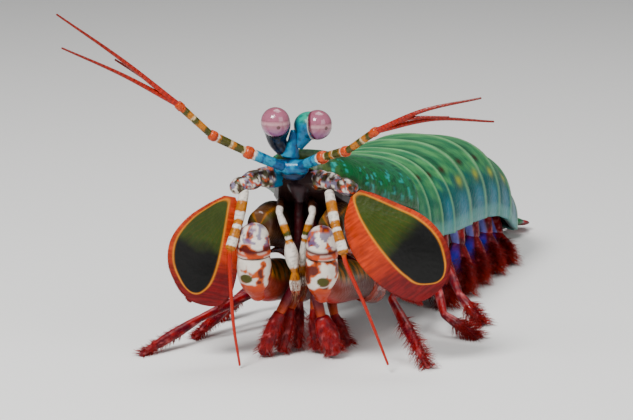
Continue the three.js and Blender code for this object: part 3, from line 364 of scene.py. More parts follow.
def add_piece(name, skin, slot, nodes=(), finish=None):
    """Makes the mesh object of a skin, in the frame, riding on the one body."""
    mesh = bpy.data.meshes.new(name)
    points = (np.array(skin.points) + SHIFT) * MM
    mesh.from_pydata(points.tolist(), [], skin.faces)
    colour = mesh.color_attributes.new("paint", "FLOAT_COLOR", "POINT")
    tint = np.ones((len(points), 4), np.float32)
    tint[:, :3] = np.clip(np.array(skin.colours), 0, 1)
    colour.data.foreach_set("color", tint.ravel())
    mesh.polygons.foreach_set("use_smooth", [True] * len(mesh.polygons))
    if skin.roots:
        layer = mesh.uv_layers.new(name="OFBake")
        spots = np.array(skin.roots)
        corner = np.zeros(len(mesh.loops), np.int32)
        mesh.loops.foreach_get("vertex_index", corner)
        patch = np.stack([corner % 3, (corner // 3) % 3], axis=1) * 0.0015
        layer.data.foreach_set("uv", (spots[corner] + patch).astype(np.float32).ravel())
    mesh.materials.append(MATERIALS[finish or slot])
    mesh.update()
    piece = bpy.data.objects.new(name, mesh)
    bpy.context.scene.collection.objects.link(piece)
    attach(piece, "root")
    if nodes:
        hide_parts(*nodes)
    return piece


# Body rows: name, length, yaw to the right, slope down, half width and height at the rear
ROWS = [
    ("carapace_front", 12, 19, 18, 12.2, 13.0), ("carapace_rear", 23, 20, 13, 15.5, 16.5),
    ("thorax_6", 7, 20, 7, 16.2, 17.2), ("thorax_7", 6.5, 20, 4, 16.8, 17.8),
    ("thorax_8", 6.5, 20, 2, 17.3, 18.2), ("abdomen_1", 13.5, 19, 1, 17.6, 18.5),
    ("abdomen_2", 13.5, 19, 4, 17.8, 18.5), ("abdomen_3", 13.5, 20, 11, 17.8, 18.2),
    ("abdomen_4", 13.5, 18, 24, 17.5, 17.4), ("abdomen_5", 13.5, 12, 38, 16.6, 15.2),
    ("abdomen_6", 10, 7, 44, 14.6, 9.0),
]
BODY_START = V(1, 5, 45.5)


def frame_at(yaw, slope):
    y, s = math.radians(yaw), math.radians(slope)
    back = V(math.sin(y) * math.cos(s), math.cos(y) * math.cos(s), -math.sin(s))
    return back, V(math.cos(y), -math.sin(y), 0)


STATIONS = [(BODY_START, *frame_at(19, 18), 8.6, 9.5)]
for index, (_, length, yaw, slope, half_width, height) in enumerate(ROWS):
    after = ROWS[min(index + 1, len(ROWS) - 1)]
    dorsal = STATIONS[-1][0] + frame_at(yaw, slope)[0] * length
    STATIONS.append((dorsal, *frame_at((yaw + after[2]) / 2, (slope + after[3]) / 2), half_width, height))


def between(index, t):
    a, b = STATIONS[index], STATIONS[index + 1]
    back, right = unit(mix(a[1], b[1], t)), unit(mix(a[2], b[2], t))
    up = unit(np.cross(right, back))
    return mix(a[0], b[0], t), back, right, up, mix(a[3], b[3], t), mix(a[4], b[4], t)


def put(station, x, y, shift=0.0):
    at, back, right, up, half_width, height = station
    return at + right * x * half_width + up * (y - 1) * height + back * shift


ARCH = 96
SQUARENESS = 0.82
UNDER = [(-0.91, 0.02), (-0.8, 0.176), (-0.45, 0.22), (0, 0.198), (0.45, 0.22), (0.8, 0.176), (0.91, 0.02)]
TERGITE = [(0.0, 0.945), (0.1, 0.965), (0.3, 0.985), (0.7, 0.995), (0.9, 1.012), (1.0, 0.992)]
FIRST_ABDOMEN = 5


def arch():
    """Half a section: cosine, sine, and the squared-off places across and up."""
    for i in range(ARCH):
        w = math.pi * i / (ARCH - 1)
        c, s = math.cos(w), max(math.sin(w), 0)
        yield c, s, math.copysign(abs(c) ** SQUARENESS, c), s ** SQUARENESS


def body_paint(row, t, flank, p):
    """Tergite colours: pale bands, dark streaks ending in a brown spot, teal flanks, yellow spots."""
    rear = smooth((row - 5) / 5)
    ripple = blotch(p * V(0.35, 1, 1), 0.45, 3)
    colour = mix(PALE_GREEN, SEA_GREEN, smooth(0.45 + 0.5 * ripple + 0.7 * abs(t - 0.55)))
    colour = mix(colour, SEA_GREEN, 0.75 * rear)
    colour = mix(colour, TEAL, smooth((flank - 0.70 + 0.08 * ripple) / 0.25) * (0.9 if row >= 4 else 0.4))
    streak = peak(t, 0.22 + 0.03 * ripple, 0.09) * (1 - smooth((flank - 0.72) / 0.10))
    colour = mix(colour, DARK_GREEN, 0.62 * streak)
    colour = mix(colour, BROWN, 0.95 * peak(t, 0.24, 0.10) * peak(flank, 0.70, 0.035))
    spot = peak(t, 0.62, 0.12) * peak(flank, 0.86, 0.035) * (row >= FIRST_ABDOMEN)
    colour = mix(colour, YELLOW, 0.8 * spot)
    colour = mix(colour, CYAN, 0.5 * peak(t, 0.55, 0.25) * smooth((flank - 0.9) / 0.08) * (row >= 4))
    colour = mix(colour, BAND_GREEN, 0.45 * peak(t, 0.84, 0.05))
    colour = mix(colour, DARK_GREEN, 0.85 * smooth((t - 0.94) / 0.06))
    return mix(colour, EDGE_GREEN, 0.5 * smooth((flank - 0.99) / 0.008))


for index in range(2, len(ROWS)):
    skin = Skin()
    rings = []
    steps = 40 if index >= FIRST_ABDOMEN else 22
    for k in range(steps + 1):
        t = k / steps
        scale = hermite(TERGITE, min(t, 0.9999))
        station = between(index, t)
        shift = {0: GAP / 2, steps: -GAP / 2}.get(k, 0)
        ring = []
        for c, s, x, y in arch():
            point = put(station, x * scale, y - (1 - scale) * s, shift)
            ring.append((point, body_paint(index, t, abs(c), point)))
        for x, y in UNDER:
            ring.append((put(station, x * scale, y, shift), mix(PLUM, TEAL, 0.3)))
        rings.append(ring)
    front = put(between(index, 0), 0, 0.5, GAP / 2)
    rear = put(between(index, 1), 0, 0.5, -GAP / 2)
    skin.rings(rings, front, rear)
    add_piece("shell_" + ROWS[index][0], skin, "green_shell", [ROWS[index][0]])

# Carapace: the same section, cut off at its free side margins
FRONT_SHARE = 0.34
MARGIN = 0.34
GROOVE_DEPTH = 0.010
SHIELD_STEPS = 64
SHIELD = [(0.0, 0.5), (0.02, 0.72), (0.08, 0.88), (0.2, 0.95), (0.34, 0.97), (0.45, 0.95), (0.6, 0.98),
          (0.8, 1.0), (0.95, 1.015), (1.0, 0.995)]


def shield_station(t):
    if t < FRONT_SHARE:
        return between(0, t / FRONT_SHARE)
    return between(1, (t - FRONT_SHARE) / (1 - FRONT_SHARE))


def shield_paint(t, flank, p):
    colour = mix(EMERALD, SEA_GREEN, smooth((t - 0.55) / 0.3))
    colour = mix(colour, OLIVE, 0.7 * (1 - smooth(t / 0.12)))
    colour = mix(colour, TURQUOISE, 0.85 * speck(p, 0.55, 21, 0.42) * smooth((flank - 0.7) / 0.1))
    colour = mix(colour, DARK_GREEN, 0.6 * speck(p, 0.7, 27, 0.35))
    return mix(colour, LEAF, 0.5 * smooth((flank - 0.985) / 0.012))


skin = Skin()
rings = []
for k in range(SHIELD_STEPS + 1):
    t = (k / SHIELD_STEPS) ** 1.5
    scale = float(np.interp(t, *zip(*SHIELD)))
    station = shield_station(t)
    shift = -GAP / 2 if k == SHIELD_STEPS else 0
    ring = []
    for c, s, x, y in arch():
        groove = GROOVE_DEPTH * peak(abs(c), 0.42, 0.03) * (t < 0.8)
        point = put(station, x * (scale - groove), mix(MARGIN, 1.0, y) - (1 - scale + groove) * s, shift)
        ring.append((point, shield_paint(t, abs(c), point)))
    for x in (-0.6, -0.2, 0.2, 0.6):
        ring.append((put(station, x * scale, MARGIN + 0.04, shift), V(*MAROON)))
    rings.append(ring)
skin.rings(rings, put(shield_station(0), 0, 0.55, -0.2), put(shield_station(1), 0, 0.55, -GAP / 2))
add_piece("shell_carapace", skin, "green_shell", ["carapace"])

# Eyes: a globe with a pale middle band and a dark rim, on a cut stalk
EYES = {
    "r": (CORNEA_R_CENTRE, unit(V(-0.1, -0.8, 0.55)), [V(-2.6, 2.0, 43.9), V(-4.0, 2.3, 46.2)],
          V(0.22, -0.94, -0.22)),
    "l": (V(4.2, 2, 49.5), unit(V(0.93, -0.3, 0.2)), [V(-0.2, 2.2, 45.0), V(1.2, 2.6, 47.2)],
          V(0.6, -0.79, -0.1)),
}
CORNEA_CUT = 0.35
CORNEA_STRETCH = V(1, 1, 1.03)
GLOBE_RINGS = 48
GLOBE_SIDES = 96
STALK_STEPS = 36
STALK_RADII = [(1.3, 1.4), (1.9, 2.0), (2.8, 2.85), (2.9, 2.9)]


def globe_paint(side, out, pupil, toward_rim):
    colour = mix(PINK, PALE_PINK, 0.8 * peak(out[2], 0.02, 0.13))
    colour = mix(colour, MAROON, 0.4 * peak(abs(out[2] - 0.02), 0.17, 0.02))
    colour = mix(colour, MAUVE, 0.55 * smooth((-out[2] - 0.15) / 0.5))
    colour = mix(colour, ROSE, 0.45 * smooth((out[2] - 0.55) / 0.35))
    colour = mix(colour, MAROON, 0.9 * smooth((float(np.dot(out, unit(pupil))) - 0.988) / 0.006))
    if side == "r":
        colour = mix(colour, NAVY, 0.9 * smooth((-out[2] - 0.78) / 0.12))
    return mix(colour, WINE, smooth((toward_rim - 0.86) / 0.10))


# Right stalk: navy, partly its own dark colour and partly painted shade where it stands behind its eye;
# bluer toward +X, a teal ring near the top
def stalk_paint_r_with_shade(t, n, p):
    colour = mix(NAVY, BLUE, 0.4 * smooth(n[0]) + 0.25 * speck(p, 0.8, 2, 0.2))
    return mix(colour, TEAL, 0.5 * peak(t, 0.95, 0.03))


def stalk_paint_l_with_highlight(t, n, p):
    colour = mix(BLUE, CYAN, 0.35 + 0.5 * smooth(n[2]) * t)
    colour = mix(colour, JADE, 0.9 * smooth((n[2] - 0.1) / 0.5) * smooth(t * 1.6 - 0.4))
    colour = mix(colour, NAVY, 0.75 * smooth((-n[0] - 0.45) / 0.35))
    colour = mix(colour, NAVY, 0.5 * speck(p, 0.9, 12, 0.35))
    # Painted highlight: a white ring round the stalk's top rim, under the globe
    return mix(colour, WHITE, 0.8 * smooth((t - 0.975) / 0.02))


for side, (centre, axis, path, pupil) in EYES.items():
    a = unit(np.cross(axis, Z))
    b = np.cross(axis, a)
    skin = Skin()
    rings = []
    start = math.acos(-CORNEA_CUT + GAP / 2 / CORNEA_RADIUS)
    for k in range(GLOBE_RINGS):
        w = start * (1 - k / GLOBE_RINGS)
        ring = []
        for i in range(GLOBE_SIDES):
            q = 2 * math.pi * i / GLOBE_SIDES
            out = axis * math.cos(w) + (a * math.cos(q) + b * math.sin(q)) * math.sin(w)
            point = centre + out * CORNEA_RADIUS * CORNEA_STRETCH
            ring.append((point, globe_paint(side, out, pupil, w / start)))
        rings.append(ring)
    skin.rings(rings, None, centre + axis * CORNEA_RADIUS)
    add_piece("eye_globe_" + side, skin, "cornea_globe", ["cornea_" + side])

    cut = centre - axis * CORNEA_CUT * CORNEA_RADIUS
    route = run_through([*path, cut - axis * 1.3, cut - axis * GAP / 2], STALK_STEPS)
    skin = Skin()
    paint = stalk_paint_r_with_shade if side == "r" else stalk_paint_l_with_highlight
    skin.tube(route, profile(STALK_RADII, STALK_STEPS), Y, paint, 40, dome=0.05)
    add_piece("eye_stalk_" + side, skin, "blue_shell", ["eyestalk_" + side])


def head_blue(t, n, p):
    colour = mix(BLUE, CYAN, smooth(0.4 + 0.9 * blotch(p, 0.7, 14)))
    return mix(colour, NAVY, 0.8 * speck(p, 0.9, 31, 0.30))


def head_dark(t, n, p):
    return mix(NAVY, BLUE, 0.35 * smooth(0.5 + blotch(p, 0.6, 18)))


skin = Skin()
skin.limb([V(-1.5, 1.9, 43.3), V(-1.0, 1.5, 45.4), V(-0.8, 1.1, 48.3)],
          [(2.1, 1.6), (1.25, 1.2), (0.6, 0.6)], 20, X, head_blue, 28)
add_piece("eye_base", skin, "blue_shell", ["ophthalmic_somite"])
skin = Skin()
skin.limb([V(-4.0, 0.9, 41), V(-1.4, 0.2, 41.0), V(1.6, -0.5, 41.2)],
          [(1.45, 1.5), (1.7, 1.6), (1.45, 1.5)], 20, Y, head_blue, 28)
skin.tube([V(-1, 0.5, 39.9), V(0, 4, 39.5)], [(2.5, 1.7), (2.7, 1.9)], X, head_dark, 24)
add_piece("antennule_base", skin, "blue_shell", ["antennular_somite"])

# Antennules: ringed peduncles and three flagella each
ANTENNULES = {
    "r": ([V(-3.0, -0.6, 41.3), V(-10.2, -3, 44.8), V(-17.3, -6, 48.8), V(-23.8, -8, 55.3)],
          [[V(-35, -9, 64.6), V(-47.8, -9, 73.7)], [V(-35, -8, 61.4), V(-47, -8, 66.8)],
           [V(-30, -7.4, 60.2), V(-36.4, -7.6, 64.4)]]),
    "l": ([V(0.8, -1.0, 41.5), V(5.5, -6, 44.3), V(10.1, -12, 46.6), V(15.8, -18, 51.7)],
          [[V(25, -20.5, 56.2), V(36.2, -22, 58.9)], [V(27, -19, 54.2), V(38.9, -20, 53.9)],
           [V(22, -19.5, 54.4), V(30, -21, 55)]]),
}
PEDUNCLE = [
    (1.15, 0.95, banded([(0, BLUE), (0.25, CYAN), (0.55, BLUE), (0.62, CYAN),
                         (0.80, WHITE), (0.86, ORANGE)])),
    (0.95, 0.8, banded([(0, CREAM), (0.12, OLIVE), (0.34, GOLD), (0.44, CREAM), (0.50, OLIVE), (0.78, GOLD),
                        (0.84, WHITE), (0.88, ORANGE)])),
    (0.8, 0.7, banded([(0, OLIVE), (0.2, GOLD), (0.42, OLIVE), (0.54, CREAM), (0.60, GOLD), (0.72, OLIVE),
                       (0.85, ORANGE)])),
]


def ring_paint(t, n, p):
    return mix(ORANGE, MAROON, 0.5 * speck(p, 1.6, 4, 0.25))


def flagellum_paint(t, n, p):
    return mix(FLAME, RUST, smooth(t)) * (0.78 + 0.22 * math.sin(170 * t))


for side, (joints, whips) in ANTENNULES.items():
    skin = Skin()
    for k, (mid, end, colour) in enumerate(PEDUNCLE):
        skin.bulge(joints[k], mix(joints[k], joints[k + 1], 0.97), end, mid * 0.95, mid, Y, colour, 20, 30)
        ring_run = [mix(joints[k], joints[k + 1], 0.91), joints[k + 1]]
        skin.tube(ring_run, [(mid * 1.18,) * 2, (mid * 1.14,) * 2], Y, ring_paint, 20)
    for run in whips:
        skin.whip([joints[3], *run], 0.6, 0.2, flagellum_paint, steps=90)
    add_piece("antennule_ringed_" + side, skin, "banded_orange", ["antennule_" + side])

# Antennae: lumpy base joints, a gold and white peduncle and a thin flagellum
ANTENNAE = {
    "r": ([V(-3.5, 5, 38), V(-7.6, 2.2, 38.6), V(-10.6, 0.9, 37.6), V(-13.0, 0.2, 36.6)],
          [V(-10.8, 0, 36), V(-12.0, -2, 30), V(-13.6, -4, 25)],
          [V(-13.8, -4.6, 22), V(-13.1, -6, 10), V(-11.8, -6, 0.7)]),
    "l": ([V(3.2, 5, 37.6), V(5.2, 1.2, 38.2), V(8.4, -1.2, 37.8), V(11.6, -2.8, 37.0)],
          [V(6.6, -1.6, 36), V(7.8, -7.4, 30.5), V(9.4, -9.6, 25.4)],
          [V(10.2, -9.8, 22.4), V(13.9, -9.6, 14), V(18.6, -10, 1.9)]),
}


def lumpy_paint(t, n, p):
    colour = mix(WHITE, GREY_VIOLET, 0.9 * speck(p, 0.8, 40, -0.05))
    colour = mix(colour, OLIVE, 0.9 * speck(p, 0.65, 44, 0.05))
    colour = mix(colour, BROWN, 0.9 * speck(p, 0.9, 47, 0.20))
    return mix(colour, ORANGE, 0.95 * speck(p, 1.0, 53, 0.42))


def blue_cap_paint(t, n, p):
    return mix(mix(BLUE, CYAN, 0.5), lumpy_paint(t, n, p), smooth((t - 0.35) / 0.3))


def thin_orange(t, n, p):
    return mix(GOLD, FLAME, smooth(t * 4))


upper_stripes = banded([(0, WHITE), (0.30, GOLD), (0.66, WHITE), (0.92, GOLD)])
lower_stripes = banded([(0, GOLD), (0.10, WHITE), (0.24, GOLD), (0.60, WHITE), (0.93, GOLD)])
for side, (base, hang, whip) in ANTENNAE.items():
    skin = Skin()
    skin.bulge(base[0], base[1], 1.9, (2.1, 2.3), 1.9, Y, blue_cap_paint, 32, 24)
    skin.bulge(base[1], base[2], 1.6, 2.0, 1.6, Y, lumpy_paint, 32, 24)
    skin.bulge(base[2], base[3], 1.4, 1.8, 1.3, Y, lumpy_paint, 32, 24)
    skin.bulge(hang[0], hang[1], 0.95, 1.1, 1.0, Y, upper_stripes, 20, 40)
    skin.bulge(hang[1], hang[2], 0.9, 1.05, 1.1, Y, lower_stripes, 20, 40)
    skin.whip([hang[2], *whip], 0.55, 0.25, thin_orange, steps=60)
    add_piece("antenna_spotted_" + side, skin, "spotted_white", ["antenna_" + side])

# Antennal scales: a veined blade bounded by a gold line, with a red fringe of setae.
# Half widths run from the axis outward and inward; the blade has half widths of its own.
SCALE_PLACES = (0, 0.1, 0.25, 0.45, 0.65, 0.82, 0.93, 1)


def widths(*values):
    return list(zip(SCALE_PLACES, values))


SCALES = {
    "r": dict(
        root=V(-13.8, 0.0, 34.9), tip=V(-18.6, -1.6, 12.2), outward=V(-1, -0.3, 0), seed=73,
        outer=widths(1.2, 4.4, 8.0, 10.4, 10.2, 7.8, 5.0, 0.6),
        inner=widths(1.2, 2.6, 3.6, 4.3, 4.8, 4.6, 3.4, 0.6),
        blade_outer=[(0, 0.4), (0.1, 3.4), (0.25, 6.9), (0.45, 9.3),
                     (0.65, 9.0), (0.82, 6.5), (0.90, 4.2), (1, -1)],
        blade_inner=[(0, 0.2), (0.1, 0.2), (0.3, 0.5), (0.54, 0.6),
                     (0.7, 0.3), (0.82, -0.5), (0.90, -2.2), (1, -6)],
    ),
    "l": dict(
        root=V(12.0, -3.5, 36.3), tip=V(27.8, -7.4, 15.8), outward=V(0.8, 0, 0.6), seed=71,
        outer=widths(1.2, 3.0, 5.4, 8.2, 9.0, 7.8, 5.0, 0.6),
        inner=widths(1.2, 4.8, 7.2, 8.2, 7.7, 6.0, 4.0, 0.6),
        blade_outer=[(0, 0.6), (0.1, 2.2), (0.25, 4.4), (0.45, 7.1),
                     (0.65, 7.9), (0.82, 6.5), (0.92, 4.4), (1, 0)],
        blade_inner=[(0, 0.8), (0.1, 1.7), (0.2, 2.3), (0.38, 2.7), (0.6, 2.6),
                     (0.75, 2.0), (0.87, 0.6), (1, -5)],
    ),
}
SCALE_CAMBER = 1.3
SCALE_EDGE = 0.4
SCALE_THICK = 1.0
SCALE_TIP_START = 0.93
BLADE_CORNER = 3.0
FRINGE_SETAE = 1500
SCALE_ROWS = 140
SCALE_COLUMNS = 90


def half_width_at(table, t):
    """Half width along a scale, rounded off to nothing at its tip."""
    if t < SCALE_TIP_START:
        return hermite(table, t)
    past = min((t - SCALE_TIP_START) / (1 - SCALE_TIP_START), 1)
    return max(table[-2][1] * math.sqrt(1 - past * past), 0.15)


def scale_paint(data, t, x, p):
    blade_out, blade_in = (hermite(data[edge], min(t, 0.999)) for edge in ("blade_outer", "blade_inner"))
    nearer, farther = sorted((blade_out - x, x + blade_in))
    blend = max(BLADE_CORNER - (farther - nearer), 0) / BLADE_CORNER
    inside = nearer - blend * blend * BLADE_CORNER / 4
    fan = math.atan2(x + 2.0, 0.12 + t * 22)
    vein = abs(math.sin(34 * fan + 0.6 * blotch(p, 0.5, 61)))
    blade = mix(LEAF, OLIVE, 0.35 + 0.65 * smooth(1 - vein * 2.2))
    dark = t - 0.50 + 0.05 * (x / 6) + 0.03 * blotch(p, 0.4, 66)
    blade = mix(blade, BLACK, smooth(dark / 0.16 + 0.5))
    strand = blotch(V(t * 60, x * 0.25, 0), 1.0, 70)
    seta = mix(mix(FLAME, ORANGE, 0.5), DARK_SETA, smooth((t - 0.50) / 0.35 + 0.3 * (x < 0) * t))
    seta = seta * (0.75 + 0.5 * smooth(0.5 + strand))
    colour = mix(seta, blade, smooth(inside / 0.25 + 0.5))
    return mix(colour, GOLD_LINE, 0.95 * peak(inside, 0.0, 0.20))


for side, data in SCALES.items():
    root, down = data["root"], unit(data["tip"] - data["root"])
    length = np.linalg.norm(data["tip"] - root)
    out = unit(data["outward"] - down * np.dot(data["outward"], down))
    face = np.cross(down, out)
    skin = Skin()
    rings = []
    for k in range(SCALE_ROWS + 1):
        t = 1 - (1 - k / SCALE_ROWS) ** 1.4
        wide_out, wide_in = half_width_at(data["outer"], t), half_width_at(data["inner"], t)
        ring = []
        for sign, order in ((1, range(SCALE_COLUMNS + 1)), (-1, range(SCALE_COLUMNS, -1, -1))):
            for j in order:
                share = j / SCALE_COLUMNS
                x = mix(-wide_in, wide_out, share)
                dish = 4 * share * (1 - share) * math.sin(math.pi * min(t + 0.05, 1))
                half = mix(SCALE_EDGE, SCALE_THICK, min(dish * 1.6, 1)) / 2
                point = root + down * t * length + out * x + face * (SCALE_CAMBER * dish + sign * half)
                ring.append((point, scale_paint(data, t, x, point)))
        rings.append(ring)
    skin.rings(rings)
    add_piece("scale_blade_" + side, skin, "scale_vane", ["antennal_scale_" + side])

    draw = random.Random(data["seed"])
    coat = Skin()
    for k in range(FRINGE_SETAE):
        t = 0.05 + 0.93 * (k + draw.random()) / FRINGE_SETAE
        for edge, table, sign in ((0, data["outer"], 1), (1, data["inner"], -1)):
            rim = sign * half_width_at(table, t)
            start = root + down * t * length + out * rim * (0.97 if edge == 0 else 0.90)
            aim = out * sign * (1 - 0.6 * t) + down * (0.5 + t) + face * (draw.random() - 0.5) * 0.3
            reach = (0.55 if edge == 0 else 1.2) * (0.7 + 0.5 * draw.random())
            tint = mix(FLAME, FRINGE_RED, smooth((t - 0.45) / 0.4)) * (0.6 + 0.8 * draw.random())
            coat.hair(start, aim, reach, 0.06, tint, 0.0, (0.05 + 0.9 * t, 0.25 + 0.5 * edge))
    add_piece("scale_fringe_" + side, coat, "scale_vane", finish="setae")

# First maxillipeds: white and gold cleaning limbs
FIRST = {
    "r": ([V(-3.4, 6.5, 33), V(-3.7, 1.0, 31.3), V(-1.7, -1.2, 26.2), V(-0.5, -2.2, 19.6),
           V(-0.3, -2.0, 14.8)], (0.8, 0.85, 1.45, 1.2)),
    "l": ([V(2.8, 6.5, 33.6), V(3.2, 0.6, 31.2), V(1.6, -0.6, 26.4), V(1.0, 1.2, 19.6), V(1.2, 1.6, 15.0)],
          (0.8, 0.85, 0.85, 0.95)),
}
FIRST_COLOURS = [
    banded([(0, BROWN), (0.7, WHITE)]), banded([(0, WHITE), (0.45, GOLD), (0.75, OLIVE), (0.9, WHITE)]),
    banded([(0, GOLD), (0.10, WHITE), (0.86, GOLD)]), banded([(0, GOLD), (0.35, WHITE), (0.80, ORANGE)]),
]
CLEANING_SETAE, CLEANING_SEED = 160, 90
coat = Skin()
for lane, (side, (joints, girths)) in enumerate(FIRST.items()):
    skin = Skin()
    for k, mid in enumerate(girths):
        skin.bulge(joints[k], joints[k + 1], 0.6, mid, 0.7, X, FIRST_COLOURS[k], 24, 24)
    add_piece("cleaning_limb_" + side, skin, "spotted_white", ["maxilliped_1_" + side])
    draw = random.Random(CLEANING_SEED + lane)
    for k in range(CLEANING_SETAE):
        t = draw.random()
        aim = V(draw.random() - 0.5, -0.5 - 0.5 * draw.random(), -0.5 - draw.random())
        start = mix(joints[3], joints[4], t) + unit(aim) * 0.7
        tint = mix(MAROON, CREAM, draw.random() ** 3)
        place = ((lane + 0.5) / 2, 0.05 + 0.9 * t)
        coat.hair(start, aim, 1.2 + 1.4 * draw.random(), 0.05, tint, 0.05, place)
add_piece("cleaning_setae", coat, "spotted_white", finish="setae")

# Raptorial claws: the carpus and the propodus's front make one rounded, mottled form
CLAWS = {
    "r": dict(
        merus=[V(-7.6, 0.4, 28.6), V(-5.2, 8, 27.6), V(-1.2, 18, 24.8), V(1.0, 24, 25.5)],
        carpus=[V(-8.8, -1.6, 27.0), V(-8.9, -2.2, 24.2), V(-8.9, -2.1, 22.4)],
        front=[V(-8.9, -2.0, 23.8), V(-8.8, -1.8, 20.5), V(-8.5, -1.0, 17.2), V(-8.1, -0.2, 14.6)],
        propodus=[V(-7.8, -1.4, 18.4), V(-6.6, 3, 16.6), V(-3.6, 12, 14.8), V(-1.2, 20, 12.4)],
        club=[V(-0.6, 22.6, 11.4), V(0.6, 27, 10.0)],
        blade=[V(-0.6, 22.8, 17.0), V(-3.6, 14, 20.7), V(-5.6, 7, 21.9)],
        girth=3.6, olive_at=(-1.5, 18.6),
    ),
    "l": dict(
        merus=[V(7.0, -1.4, 28.4), V(9.0, 7, 27.6), V(12.2, 17, 24.8), V(14.0, 23, 25.5)],
        carpus=[V(5.0, -3.4, 27.0), V(5.1, -4.2, 24.2), V(5.1, -4.1, 22.4)],
        front=[V(5.1, -4.0, 23.8), V(5.1, -3.8, 20.5), V(5.1, -3.0, 17.2), V(5.2, -2.0, 14.6)],
        propodus=[V(5.5, -3.4, 18.6), V(7.2, 1, 16.6), V(10.8, 11, 14.8), V(13.6, 19, 12.4)],
        club=[V(14.2, 21.6, 11.4), V(16.0, 26, 10.0)],
        blade=[V(14.4, 21.8, 17.0), V(10.8, 13, 20.7), V(8.6, 6, 21.9)],
        girth=3.4, olive_at=(0.2, 18.4),
    ),
}
CARPUS_SHARES = [(0.85, 0.84), (0.98, 0.94), (0.92, 0.88)]
FRONT_SHARES = [(0.88, 0.86), (1.0, 0.97), (0.9, 0.9), (0.5, 0.55)]
MERUS_RADII = [(2.8, 3.6), (3.3, 4.8), (3.0, 4.2), (2.0, 2.6)]
PROPODUS_RADII = [(3.0, 3.4), (3.5, 4.4), (3.4, 4.4), (2.8, 3.4)]
CLUB_RADII = [(3.2, 3.9), (3.4, 3.8)]
BLADE_RADII = [(1.0, 1.4), (0.8, 0.9), (0.3, 0.35)]
CLAW_DOME = 0.9
WRIST_SHARE = 0.3
CREASE = 24.3


def mottled(p, seed, cover):
    """White shell with orange patches, maroon where they are deepest."""
    field = blotch(p, 0.46, seed)
    colour = mix(WHITE, CLAW_ORANGE, smooth((field - cover) / 0.22 + 0.5))
    return mix(colour, MAROON, 0.9 * smooth((field - cover - 0.22) / 0.2))


def trimmed(skin, planes):
    """Flattens a skin onto joint planes: points past a plane slide back along its normal."""
    for point, aim in planes:
        for p in skin.points:
            past = float(np.dot(p - point, aim))
            if past > -GAP / 2:
                p -= aim * (past + GAP / 2)


